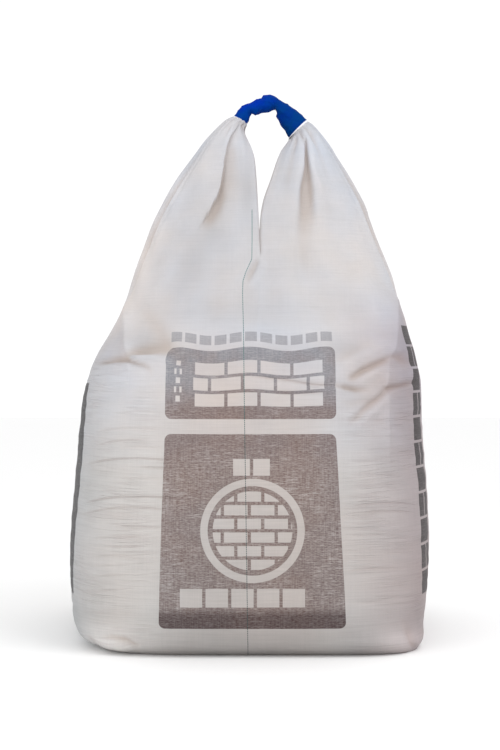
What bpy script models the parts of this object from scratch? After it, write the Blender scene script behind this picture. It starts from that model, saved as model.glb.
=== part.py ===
"""A single-loop bulk bag that holds one tonne of dry grout.

One woven tube makes the base, the four walls and the two arms that are gathered into the lifting loop.
A coloured sleeve is wrapped round the loop's crown. Inside stand a film liner, closed at its neck with a
cable tie, and the grout itself. Metres, +Z up, front face towards -Y, origin on the floor under the bag.
"""

import math

import bmesh
import bpy
from mathutils import Vector

# Driving dimensions of the pieces.
FABRIC_WALL = 0.0015
SLEEVE_WALL = 0.0015
LINER_WALL = 0.0006
GAP = 0.0006
# The loop bends, so the room left between it and its sleeve is more than between the flat layers.
SLEEVE_GAP = 0.0016
# The thickest that the gathered cloth gets, as a share of half the loop's thickness.
THICKEST_SHARE = 0.62
# Segments round half of the bag, and round half of an arm, whose gathers need more.
HALF_SEGMENTS = 20
ARM_SEGMENTS = 2 * HALF_SEGMENTS
SAMPLES = 240

# The filled body, from the floor to the lower end of the front and back slits.
# Columns: height, left side, right side, slit line, half depth, squareness.
BODY = (
    (0.000, -0.405, 0.436, 0.004, 0.412, 7.0),
    (0.020, -0.440, 0.453, 0.004, 0.445, 6.0),
    (0.055, -0.461, 0.461, 0.004, 0.463, 5.0),
    (0.110, -0.470, 0.469, 0.004, 0.473, 4.4),
    (0.200, -0.475, 0.475, 0.004, 0.477, 3.8),
    (0.300, -0.477, 0.477, 0.004, 0.477, 3.3),
    (0.400, -0.472, 0.474, 0.005, 0.472, 3.0),
    (0.500, -0.464, 0.470, 0.006, 0.463, 2.8),
    (0.590, -0.456, 0.465, 0.007, 0.452, 2.7),
    (0.660, -0.446, 0.464, 0.008, 0.440, 2.6),
    (0.717, -0.429, 0.455, 0.010, 0.421, 2.6),
    (0.756, -0.411, 0.447, 0.012, 0.403, 2.6),
    (0.800, -0.385, 0.435, 0.014, 0.376, 2.5),
    (0.850, -0.357, 0.422, 0.017, 0.344, 2.5),
    (0.905, -0.334, 0.405, 0.020, 0.314, 2.5),
    (0.950, -0.322, 0.394, 0.024, 0.290, 2.4),
    (1.003, -0.306, 0.376, 0.026, 0.262, 2.4),
)
# The body's row at the shoulder, up to which the bag is full.
SHOULDER_ROW = 11

# The loop, from the left arm's root over the crown to the right arm's root. Each section is a C that lies in
# the plane through its inner point, its outer point and the Y direction, with its open side inwards.
# Columns: inner x and z, outer x and z, half depth, wrap to each side in degrees, squareness.
LOOP = (
    (0.026, 1.003, -0.306, 1.003, 0.262, 90, 2.4),
    (0.024, 1.091, -0.277, 1.091, 0.215, 93, 2.3),
    (0.021, 1.157, -0.244, 1.157, 0.178, 97, 2.2),
    (0.018, 1.223, -0.205, 1.223, 0.138, 102, 2.1),
    (0.012, 1.287, -0.158, 1.290, 0.102, 110, 2.1),
    (-0.003, 1.332, -0.122, 1.341, 0.074, 122, 2.0),
    (-0.012, 1.366, -0.076, 1.389, 0.044, 145, 2.0),
    (-0.006, 1.385, -0.041, 1.408, 0.024, 165, 2.0),
    (0.004, 1.404, -0.014, 1.437, 0.023, 165, 2.0),
    (0.033, 1.414, 0.022, 1.453, 0.024, 165, 2.0),
    (0.058, 1.419, 0.056, 1.463, 0.026, 165, 2.0),
    (0.078, 1.402, 0.098, 1.442, 0.028, 165, 2.0),
    (0.109, 1.346, 0.157, 1.394, 0.032, 165, 2.0),
    (0.103, 1.333, 0.180, 1.372, 0.050, 145, 2.0),
    (0.087, 1.306, 0.219, 1.321, 0.080, 122, 2.0),
    (0.076, 1.283, 0.241, 1.290, 0.102, 110, 2.1),
    (0.055, 1.223, 0.282, 1.223, 0.138, 102, 2.1),
    (0.036, 1.157, 0.318, 1.157, 0.178, 97, 2.2),
    (0.0275, 1.091, 0.343, 1.091, 0.215, 93, 2.3),
    (0.026, 1.003, 0.376, 1.003, 0.262, 90, 2.4),
)
# The stations at which the sleeve starts and ends.
SLEEVE_FIRST = 7
SLEEVE_LAST = 12
LOOP_ROWS_PER_STATION = 2
# How far past the sleeve's ends, in stations, the gathered cloth stays drawn in.
SLEEVE_REACH = 0.5

# The gathers of the arms: valleys up each arm's side and back, the deepest where its side is folded in.
# Columns: share of the way from the front slit to the back one, depth, height where it starts and where it is full.
LEFT_VALLEYS = (
    (0.400, 0.036, 0.86, 1.12),
    (0.500, 0.072, 0.76, 1.05),
    (0.600, 0.052, 0.82, 1.10),
    (0.700, 0.058, 0.80, 1.14),
    (0.800, 0.046, 0.86, 1.10),
    (0.900, 0.034, 0.90, 1.14),
)
RIGHT_VALLEYS = (
    (0.425, 0.040, 0.84, 1.12),
    (0.525, 0.070, 0.76, 1.05),
    (0.625, 0.054, 0.84, 1.14),
    (0.725, 0.048, 0.80, 1.10),
    (0.850, 0.056, 0.84, 1.12),
)
VALLEY_HALF_WIDTH = 0.023
# The valleys grow shallow up the loop, between these two stations from either root.
VALLEYS_FULL = 2.0
VALLEYS_END = 5.5

# The liner and the grout above the shoulder: height, and the share of the shoulder's width.
DOME = ((0.786, 0.93), (0.818, 0.76), (0.845, 0.50), (0.862, 0.24))
# The heap slopes, so the grout lies this many times the film's distance under it, measured upright.
DOME_SLOPE = 2
# The liner's gathered neck: height and radius. The cable tie closes it at its waist.
NECK = ((0.887, 0.038), (0.927, 0.025), (0.958, 0.020), (0.966, 0.020), (0.997, 0.030), (1.047, 0.052))
NECK_BORE_SHARE = 0.35
TIE_HEIGHT = 0.0048
TIE_WALL = 0.0014
TIE_HEAD = (0.0085, 0.0065, 0.0060)
# How far the tie's head reaches into its band, and the steps of the turned band.
TIE_HEAD_SUNK = 0.0004
TIE_STEPS = 32
MERGE_DISTANCE = 0.00001

# Each material's colour and roughness.
MATERIALS = {
    "woven_fabric": ((0.66, 0.63, 0.61), 0.55),
    "blue_sleeve": ((0.005, 0.045, 0.42), 0.6),
    "liner_film": ((0.80, 0.82, 0.83), 0.3),
    "dry_grout": ((0.36, 0.35, 0.33), 0.95),
    "tie_nylon": ((0.82, 0.82, 0.79), 0.4),
}


def hermite(rows, index, share):
    """The columns of a station list, a share of the way from one station to the next, on a smooth curve."""
    last = len(rows) - 1
    before, start, end, after = (rows[min(max(index + k, 0), last)] for k in (-1, 0, 1, 2))
    found = []
    for a, b, c, d in zip(before, start, end, after):
        leaving = (c - a) / 2
        arriving = (d - b) / 2
        bend = 2 * (b - c) + leaving + arriving
        found.append(b + share * (leaving + share * (3 * (c - b) - 2 * leaving - arriving + share * bend)))
    return found


def smooth_step(value, low, high):
    """0 below low and 1 above high, with a smooth rise between them."""
    share = min(1.0, max(0.0, (value - low) / (high - low)))
    return share * share * (3 - 2 * share)


def even_points(points, count):
    """The same open line, as count points spaced evenly along it."""
    along = [0.0]
    for a, b in zip(points, points[1:]):
        along.append(along[-1] + (b - a).length)
    found = []
    piece = 0
    for k in range(count):
        target = along[-1] * k / (count - 1)
        while piece < len(points) - 2 and along[piece + 1] < target:
            piece += 1
        span = along[piece + 1] - along[piece]
        found.append(points[piece].lerp(points[piece + 1], (target - along[piece]) / span))
    return found


def arc(centre, outward, reach, half_depth, wrap, squareness, segments):
    """A rounded section from its front end to its back end, through the point furthest outward."""
    power = 2 / squareness
    line = []
    for k in range(SAMPLES + 1):
        turn = math.radians(wrap) * (2 * k / SAMPLES - 1)
        across = math.copysign(abs(math.cos(turn)) ** power, math.cos(turn))
        along = math.copysign(abs(math.sin(turn)) ** power, math.sin(turn))
        line.append(centre + outward * (reach * across) + Vector((0, half_depth * along, 0)))
    return even_points(line, segments + 1)


def body_ring(station, segments):
    """One closed ring of the body: from the front slit line, round the left side, to the back and round the right."""
    height, left, right, slit, half_depth, squareness = station
    centre = Vector((slit, 0, height))
    left_half = arc(centre, Vector((-1, 0, 0)), slit - left, half_depth, 90, squareness, segments)
    right_half = arc(centre, Vector((1, 0, 0)), right - slit, half_depth, 90, squareness, segments)
    return left_half + right_half[-2:0:-1]


def loop_station(position):
    """The loop's columns at a station number, which may lie between two stations."""
    index = min(int(position), len(LOOP) - 2)
    return hermite(LOOP, index, position - index)


def loop_section(position, inset, segments, closed=False):
    """The C of the loop at a station number, or the full ring round it, drawn in by inset on every side."""
    inner_x, inner_z, outer_x, outer_z, half_depth, wrap, squareness = loop_station(position)
    inner = Vector((inner_x, 0, inner_z))
    outer = Vector((outer_x, 0, outer_z))
    outward = (outer - inner).normalized()
    end = math.cos(math.radians(wrap))
    reach = (outer - inner).length / (1 - math.copysign(abs(end) ** (2 / squareness), end))
    centre = outer - outward * reach
    if closed:
        wrap = 180
    return arc(centre, outward, reach - inset, half_depth - inset, wrap, squareness, segments)


def length_of(points):
    return sum((b - a).length for a, b in zip(points, points[1:]))


def new_material(name):
    colour, roughness = MATERIALS[name]
    material = bpy.data.materials.new(name)
    material.use_nodes = True
    shader = material.node_tree.nodes["Principled BSDF"]
    shader.inputs["Base Color"].default_value = (*colour, 1)
    shader.inputs["Roughness"].default_value = roughness
    return material


def new_object(name, points, faces, material, collection):
    mesh = bpy.data.meshes.new(name)
    mesh.from_pydata(points, [], faces)
    mesh.materials.append(material)
    mesh.shade_smooth()
    made = bpy.data.objects.new(name, mesh)
    collection.objects.link(made)
    return made


def point_normals(points, faces):
    """The direction in which a surface looks at each of its points."""
    helper = bpy.data.meshes.new("helper")
    helper.from_pydata(points, [], faces)
    normals = [item.vector.copy() for item in helper.vertex_normals]
    bpy.data.meshes.remove(helper)
    return normals


def bridge(first, second):
    """Faces between two rows of point numbers that have the same length."""
    return [(a, b, d, c) for a, b, c, d in zip(first, first[1:], second, second[1:])]


def closed_bridge(first, second):
    return bridge(first + first[:1], second + second[:1])


def widening_bridge(coarse, fine):
    """Faces from a ring to one with twice its points."""
    faces = []
    count = len(coarse)
    for k in range(count):
        following = (k + 1) % count
        faces.append((coarse[following], coarse[k], fine[2 * k], fine[2 * k + 1], fine[2 * following]))
    return faces


def add_row(points, row):
    """Adds a row of points, and gives the numbers they have."""
    start = len(points)
    points.extend(row)
    return list(range(start, len(points)))


def stacked(rings, covered=False):
    """A bag of rings stacked from the floor up: closed below, and above too where it is covered.

    A ring may have twice the points of the one below it."""
    points = []
    rows = [add_row(points, ring) for ring in rings]
    faces = [tuple(rows[0])]
    for below, above in zip(rows, rows[1:]):
        if len(above) > len(below):
            faces += widening_bridge(below, above)
        else:
            faces += closed_bridge(below[::-1], above[::-1])
    if covered:
        faces.append(tuple(rows[-1][::-1]))
    return points, rows, faces


def fabric_surface():
    """The outer face of the whole cloth before it is gathered.

    Gives its points, its faces, the rows from the shoulder to the slits, and the rows of the loop's band."""
    rings = [body_ring(station, HALF_SEGMENTS) for station in BODY[:SHOULDER_ROW + 1]]
    rings += [body_ring(station, ARM_SEGMENTS) for station in BODY[SHOULDER_ROW + 1:]]
    points, rows, faces = stacked(rings)
    top = rows[-1]
    left_root = top[:ARM_SEGMENTS + 1]
    right_root = top[:1] + top[:ARM_SEGMENTS - 1:-1]
    band = [left_root]
    steps = (len(LOOP) - 1) * LOOP_ROWS_PER_STATION
    for step in range(1, steps):
        position = step / LOOP_ROWS_PER_STATION
        under_sleeve = SLEEVE_FIRST - SLEEVE_REACH <= position <= SLEEVE_LAST + SLEEVE_REACH
        inset = SLEEVE_WALL + SLEEVE_GAP if under_sleeve else 0
        band.append(add_row(points, loop_section(position, inset, ARM_SEGMENTS)))
    band.append(right_root)
    for before, after in zip(band, band[1:]):
        faces += bridge(after, before)
    return points, faces, rows[SHOULDER_ROW + 1:], band


def valley_depths(row, points, valleys, climbed):
    """How deep the valleys are at each point of a row that runs from the front slit to the back one."""
    fade = 1 - smooth_step(climbed, VALLEYS_FULL, VALLEYS_END)
    depths = []
    for k, number in enumerate(row):
        share = k / ARM_SEGMENTS
        level = points[number].z
        depth = 0.0
        for place, deepest, start, full in valleys:
            nearness = math.exp(-((share - place) / VALLEY_HALF_WIDTH) ** 2)
            depth += deepest * nearness * smooth_step(level, start, full)
        depths.append(depth * fade)
    return depths


def gather(points, faces, upper_rings, band):
    """Draws the valleys of both arms into the cloth."""
    normals = point_normals(points, faces)
    rows = []
    for ring in upper_rings:
        rows.append((ring[:ARM_SEGMENTS + 1], LEFT_VALLEYS, 0))
        rows.append((ring[:1] + ring[:ARM_SEGMENTS - 1:-1], RIGHT_VALLEYS, 0))
    crown = len(band) // 2
    for step in range(1, crown):
        climbed = step / LOOP_ROWS_PER_STATION
        rows.append((band[step], LEFT_VALLEYS, climbed))
        rows.append((band[-1 - step], RIGHT_VALLEYS, climbed))
    for row, valleys, climbed in rows:
        for number, depth in zip(row, valley_depths(row, points, valleys, climbed)):
            points[number] = points[number] - normals[number] * depth


def wall_thicknesses(points, band):
    """How thick the cloth is at each point: gathered into less width, the same cloth makes a thicker wall."""
    full_width = length_of([points[k] for k in band[0]])
    thickness = [FABRIC_WALL] * len(points)
    for row in band[1:-1]:
        line = [points[k] for k in row]
        middle = ARM_SEGMENTS // 2
        smallest_reach = (line[middle] - line[0].lerp(line[-1], 0.5)).length / 2
        gathered = FABRIC_WALL * max(1.0, full_width / length_of(line))
        for k in row:
            thickness[k] = min(gathered, THICKEST_SHARE * smallest_reach)
    return thickness


def thicken(made, thickness):
    """Makes a surface a wall that reaches inwards by its own thickness at each point."""
    thickest = max(thickness)
    group = made.vertex_groups.new(name="wall")
    for number, value in enumerate(thickness):
        group.add([number], value / thickest, "REPLACE")
    solidify = made.modifiers.new("wall", "SOLIDIFY")
    solidify.thickness = thickest
    solidify.offset = -1
    solidify.vertex_group = "wall"


def make_outer_bag(material, collection):
    points, faces, upper_rings, band = fabric_surface()
    thickness = wall_thicknesses(points, band)
    gather(points, faces, upper_rings, band)
    made = new_object("outer_bag", points, faces, material, collection)
    thicken(made, thickness)


def body_rows_drawn_in(depth):
    """The body's rings up to the shoulder, moved inwards from the cloth's outer face by a depth."""
    points, rows, faces = stacked([body_ring(station, HALF_SEGMENTS) for station in BODY])
    normals = point_normals(points, faces)
    return [[points[k] - normals[k] * depth for k in row] for row in rows[:SHOULDER_ROW + 1]]


def shoulder_middle():
    """The point on the floor under the middle of the shoulder's ring."""
    _, left, right = BODY[SHOULDER_ROW][:3]
    return Vector(((left + right) / 2, 0, 0))


def dome_rings(depth):
    """Rings of the heaped top, each a smaller copy of the shoulder's ring, lowered and drawn in by a depth."""
    ring = body_ring(BODY[SHOULDER_ROW], HALF_SEGMENTS)
    middle = shoulder_middle()
    rings = []
    for height, share in DOME:
        level = Vector((0, 0, height - depth))
        flat = [Vector((point.x, point.y, 0)) - middle for point in ring]
        rings.append([middle + level + point * (share - depth / point.length) for point in flat])
    return rings


def make_inner_liner(material, collection):
    """The film liner: it lines the walls, covers the heap and is gathered into a neck that stays open inside."""
    rings = body_rows_drawn_in(FABRIC_WALL + GAP) + dome_rings(0)
    middle = shoulder_middle()
    count = 2 * HALF_SEGMENTS
    start = rings[-1][0] - middle
    first_turn = math.atan2(start.y, start.x)
    for height, radius in NECK:
        turns = [first_turn - 2 * math.pi * k / count for k in range(count)]
        rings.append([middle + Vector((radius * math.cos(t), radius * math.sin(t), height)) for t in turns])
    points, rows, faces = stacked(rings)
    made = new_object("inner_liner", points, faces, material, collection)
    waist = min(radius for _, radius in NECK)
    thickness = []
    for ring in rings:
        reach = (ring[0] - ring[HALF_SEGMENTS]).length / 2
        gathered = LINER_WALL if reach > 2 * waist else waist * (1 - NECK_BORE_SHARE) * waist / reach
        thickness += [gathered] * count
    thicken(made, thickness)


def make_grout_fill(material, collection):
    """The dry grout, settled against the liner, with a low heaped top."""
    inside_liner = LINER_WALL + GAP
    rings = body_rows_drawn_in(FABRIC_WALL + GAP + inside_liner) + dome_rings(DOME_SLOPE * inside_liner)
    points, _, faces = stacked(rings, covered=True)
    new_object("grout_fill", points, faces, material, collection)


def make_loop_sleeve(material, collection):
    """The coloured sleeve round the loop's crown: a flattened tube, open at both ends."""
    points = []
    rows = []
    steps = (SLEEVE_LAST - SLEEVE_FIRST) * LOOP_ROWS_PER_STATION
    for step in range(steps + 1):
        ring = loop_section(SLEEVE_FIRST + step / LOOP_ROWS_PER_STATION, 0, HALF_SEGMENTS, closed=True)
        rows.append(add_row(points, ring[:-1]))
    faces = []
    for before, after in zip(rows, rows[1:]):
        faces += closed_bridge(after, before)
    made = new_object("loop_sleeve", points, faces, material, collection)
    thicken(made, [SLEEVE_WALL] * len(points))


def make_neck_tie(material, collection, cutters):
    """The cable tie round the liner's neck: a turned band with its square head on the front."""
    waist = min(radius for _, radius in NECK)
    waist_heights = [height for height, radius in NECK if radius == waist]
    place = shoulder_middle() + Vector((0, 0, sum(waist_heights) / len(waist_heights)))
    inside = waist + GAP
    outside = inside + TIE_WALL
    half = TIE_HEIGHT / 2
    profile = [(outside, 0, half), (outside, 0, -half), (inside, 0, -half), (inside, 0, half)]
    band = bpy.data.meshes.new("neck_tie")
    band.from_pydata(profile, [(0, 1), (1, 2), (2, 3), (3, 0)], [])
    band.materials.append(material)
    made = bpy.data.objects.new("neck_tie", band)
    made.location = place
    collection.objects.link(made)
    screw = made.modifiers.new("turn", "SCREW")
    screw.steps = TIE_STEPS
    screw.render_steps = TIE_STEPS
    screw.use_merge_vertices = True
    screw.merge_threshold = MERGE_DISTANCE
    head_mesh = bpy.data.meshes.new("neck_tie_head")
    cage = bmesh.new()
    bmesh.ops.create_cube(cage, size=1)
    bmesh.ops.scale(cage, vec=TIE_HEAD, verts=cage.verts)
    cage.to_mesh(head_mesh)
    cage.free()
    head = bpy.data.objects.new("neck_tie_head", head_mesh)
    head.location = place - Vector((0, outside - TIE_HEAD_SUNK + TIE_HEAD[1] / 2, 0))
    head.hide_render = True
    head.display_type = "WIRE"
    cutters.objects.link(head)
    join = made.modifiers.new("head", "BOOLEAN")
    join.operation = "UNION"
    join.object = head


def new_collection(name):
    collection = bpy.data.collections.new(name)
    bpy.context.scene.collection.children.link(collection)
    return collection


def build():
    for old in list(bpy.data.objects):
        bpy.data.objects.remove(old)
    collection = new_collection("bag_of_grout")
    cutters = new_collection("cutters")
    make_outer_bag(new_material("woven_fabric"), collection)
    make_inner_liner(new_material("liner_film"), collection)
    make_grout_fill(new_material("dry_grout"), collection)
    make_loop_sleeve(new_material("blue_sleeve"), collection)
    make_neck_tie(new_material("tie_nylon"), collection, cutters)


build()
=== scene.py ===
import itertools
import math
from functools import partialmethod
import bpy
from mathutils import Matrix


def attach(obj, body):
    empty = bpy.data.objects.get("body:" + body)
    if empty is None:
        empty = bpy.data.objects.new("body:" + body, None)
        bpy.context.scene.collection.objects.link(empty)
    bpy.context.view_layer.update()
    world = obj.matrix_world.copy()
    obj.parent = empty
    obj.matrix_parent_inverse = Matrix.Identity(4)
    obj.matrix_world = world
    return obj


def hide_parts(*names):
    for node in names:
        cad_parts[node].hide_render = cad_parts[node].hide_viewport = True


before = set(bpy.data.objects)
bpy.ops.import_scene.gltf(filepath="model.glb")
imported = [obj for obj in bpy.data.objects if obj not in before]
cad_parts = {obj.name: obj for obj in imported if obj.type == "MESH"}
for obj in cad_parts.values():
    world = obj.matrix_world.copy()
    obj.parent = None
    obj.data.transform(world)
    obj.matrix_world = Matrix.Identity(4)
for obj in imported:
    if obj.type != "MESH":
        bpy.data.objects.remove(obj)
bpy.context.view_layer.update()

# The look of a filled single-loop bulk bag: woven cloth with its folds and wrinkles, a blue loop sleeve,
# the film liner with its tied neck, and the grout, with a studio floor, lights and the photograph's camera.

from types import SimpleNamespace

import bpy
import numpy as np
from mathutils import Vector

# The photograph's view: a level camera in front of the bag, and the scale at the bag's middle plane.
PHOTO_HEIGHT = 750
CAMERA_DISTANCE = 4.3
CAMERA_HEIGHT = 0.74
PIXELS_PER_METRE = 363.5
MIDDLE_COLUMN = 249.5
HORIZON_ROW = 357.7
SENSOR_HEIGHT = 24
# The scale at the belly's front face, which stands nearer to the camera.
FRONT_PIXELS_PER_METRE = 406.5

# The cloth's grid: columns round half of the bag, closer on the front, and rows up the body, along the loop
# and under the base.
HALF_COLUMNS = 190
FRONT_DENSITY = 1.6
BODY_ROWS = 192
LOOP_ROWS = 98
BASE_ROWS = 9
# What the base's rows leave open in the middle, as a share of a row's step. One face fills it.
BASE_MIDDLE = 0.2
SECTION_SAMPLES = 720

# The filled body, from the floor to the lower ends of the slits.
# Columns: height, left side, right side, slit line, half depth, squareness.
BODY = np.array((
    (0.000, -0.405, 0.436, 0.004, 0.412, 7.0),
    (0.020, -0.440, 0.449, 0.004, 0.445, 6.0),
    (0.055, -0.461, 0.455, 0.004, 0.463, 4.6),
    (0.110, -0.470, 0.465, 0.004, 0.473, 4.2),
    (0.200, -0.475, 0.475, 0.004, 0.477, 3.8),
    (0.300, -0.477, 0.477, 0.004, 0.477, 3.3),
    (0.400, -0.472, 0.474, 0.005, 0.472, 3.0),
    (0.500, -0.464, 0.470, 0.006, 0.463, 2.8),
    (0.590, -0.456, 0.465, 0.007, 0.452, 2.7),
    (0.660, -0.446, 0.464, 0.008, 0.440, 2.6),
    (0.717, -0.429, 0.455, 0.010, 0.421, 2.6),
    (0.756, -0.411, 0.447, 0.012, 0.403, 2.6),
    (0.800, -0.385, 0.435, 0.014, 0.376, 2.5),
    (0.850, -0.357, 0.422, 0.017, 0.344, 2.5),
    (0.905, -0.334, 0.405, 0.020, 0.314, 2.5),
    (0.950, -0.322, 0.394, 0.024, 0.290, 2.4),
    (1.003, -0.306, 0.376, 0.026, 0.262, 2.4),
))
# The shoulder's row, up to which the liner and the grout fill the bag.
SHOULDER_HEIGHT, SHOULDER_LEFT, SHOULDER_RIGHT = BODY[11, :3]
# The left side's corners are rounder at the foot than the right side's.
LEFT_SQUARENESS = 4.5

# The loop, from the left arm's root over the crown to the right arm's root, as C sections open inwards.
# Columns: inner x and z, outer x and z, half depth, wrap to each side in degrees, squareness.
LOOP = np.array((
    (0.026, 1.003, -0.306, 1.003, 0.262, 90, 2.4),
    (0.024, 1.091, -0.277, 1.091, 0.215, 93, 2.3),
    (0.021, 1.157, -0.244, 1.157, 0.178, 97, 2.2),
    (0.018, 1.223, -0.205, 1.223, 0.138, 102, 2.1),
    (0.012, 1.287, -0.155, 1.290, 0.102, 110, 2.1),
    (-0.003, 1.332, -0.118, 1.341, 0.074, 122, 2.0),
    (-0.012, 1.366, -0.073, 1.389, 0.044, 145, 2.0),
    (-0.006, 1.385, -0.041, 1.408, 0.024, 165, 2.0),
    (0.004, 1.404, -0.014, 1.437, 0.023, 165, 2.0),
    (0.033, 1.414, 0.022, 1.453, 0.024, 165, 2.0),
    (0.058, 1.419, 0.056, 1.463, 0.026, 165, 2.0),
    (0.078, 1.402, 0.098, 1.442, 0.028, 165, 2.0),
    (0.109, 1.346, 0.157, 1.394, 0.032, 165, 2.0),
    (0.103, 1.333, 0.180, 1.372, 0.050, 145, 2.0),
    (0.084, 1.306, 0.219, 1.321, 0.080, 122, 2.0),
    (0.0735, 1.283, 0.238, 1.290, 0.102, 110, 2.1),
    (0.055, 1.223, 0.282, 1.223, 0.138, 102, 2.1),
    (0.034, 1.157, 0.318, 1.157, 0.178, 97, 2.2),
    (0.0255, 1.091, 0.343, 1.091, 0.215, 93, 2.3),
    (0.026, 1.003, 0.376, 1.003, 0.262, 90, 2.4),
))
# The rows of LOOP at the sleeve's ends, and how far the cloth is drawn in inside it and at its ends.
SLEEVE_FIRST = 7
SLEEVE_LAST = 12
SLEEVE_INSET = 0.0085
END_INSET = 0.0020
# The sleeve's kinked outline, from the hem at its left end to the hem at its right end.
# Points: under side's column and row, upper side's column and row.
SLEEVE_LINE = (
    (245.9, 125.9, 231.4, 117.2),
    (246.8, 123.8, 233.8, 115.6),
    (249.5, 117.1, 240.9, 105.9),
    (251.2, 113.7, 245.1, 104.2),
    (255.0, 115.7, 249.2, 102.9),
    (259.9, 113.1, 255.7, 98.8),
    (265.0, 112.2, 260.8, 98.8),
    (270.2, 111.4, 262.9, 95.4),
    (275.0, 109.9, 269.6, 94.9),
    (275.9, 112.5, 274.8, 96.8),
    (275.7, 116.2, 285.1, 103.1),
    (280.6, 125.6, 296.0, 110.3),
    (288.6, 137.7, 306.4, 120.0),
    (287.6, 139.5, 308.1, 121.6),
)
SLEEVE_STEPS = 6
SLEEVE_COLUMNS = 120
SLEEVE_HALF_DEPTHS = (0.0235, 0.0325)
SLEEVE_GIRTH = 0.16
HEM_WIDTH = 0.0050

# The heaped top of the filling, as heights and shares of the shoulder's outline, and the liner's neck, as
# heights and radii, as in the solid model.
DOME = ((0.786, 0.93), (0.818, 0.76), (0.845, 0.50), (0.862, 0.24))
NECK = ((0.887, 0.038), (0.927, 0.025), (0.958, 0.020), (0.966, 0.020), (0.997, 0.030), (1.047, 0.052))
TIE_HEIGHT = 0.962
LINER_BEHIND = 0.003
FILL_BEHIND = 0.006

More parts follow.
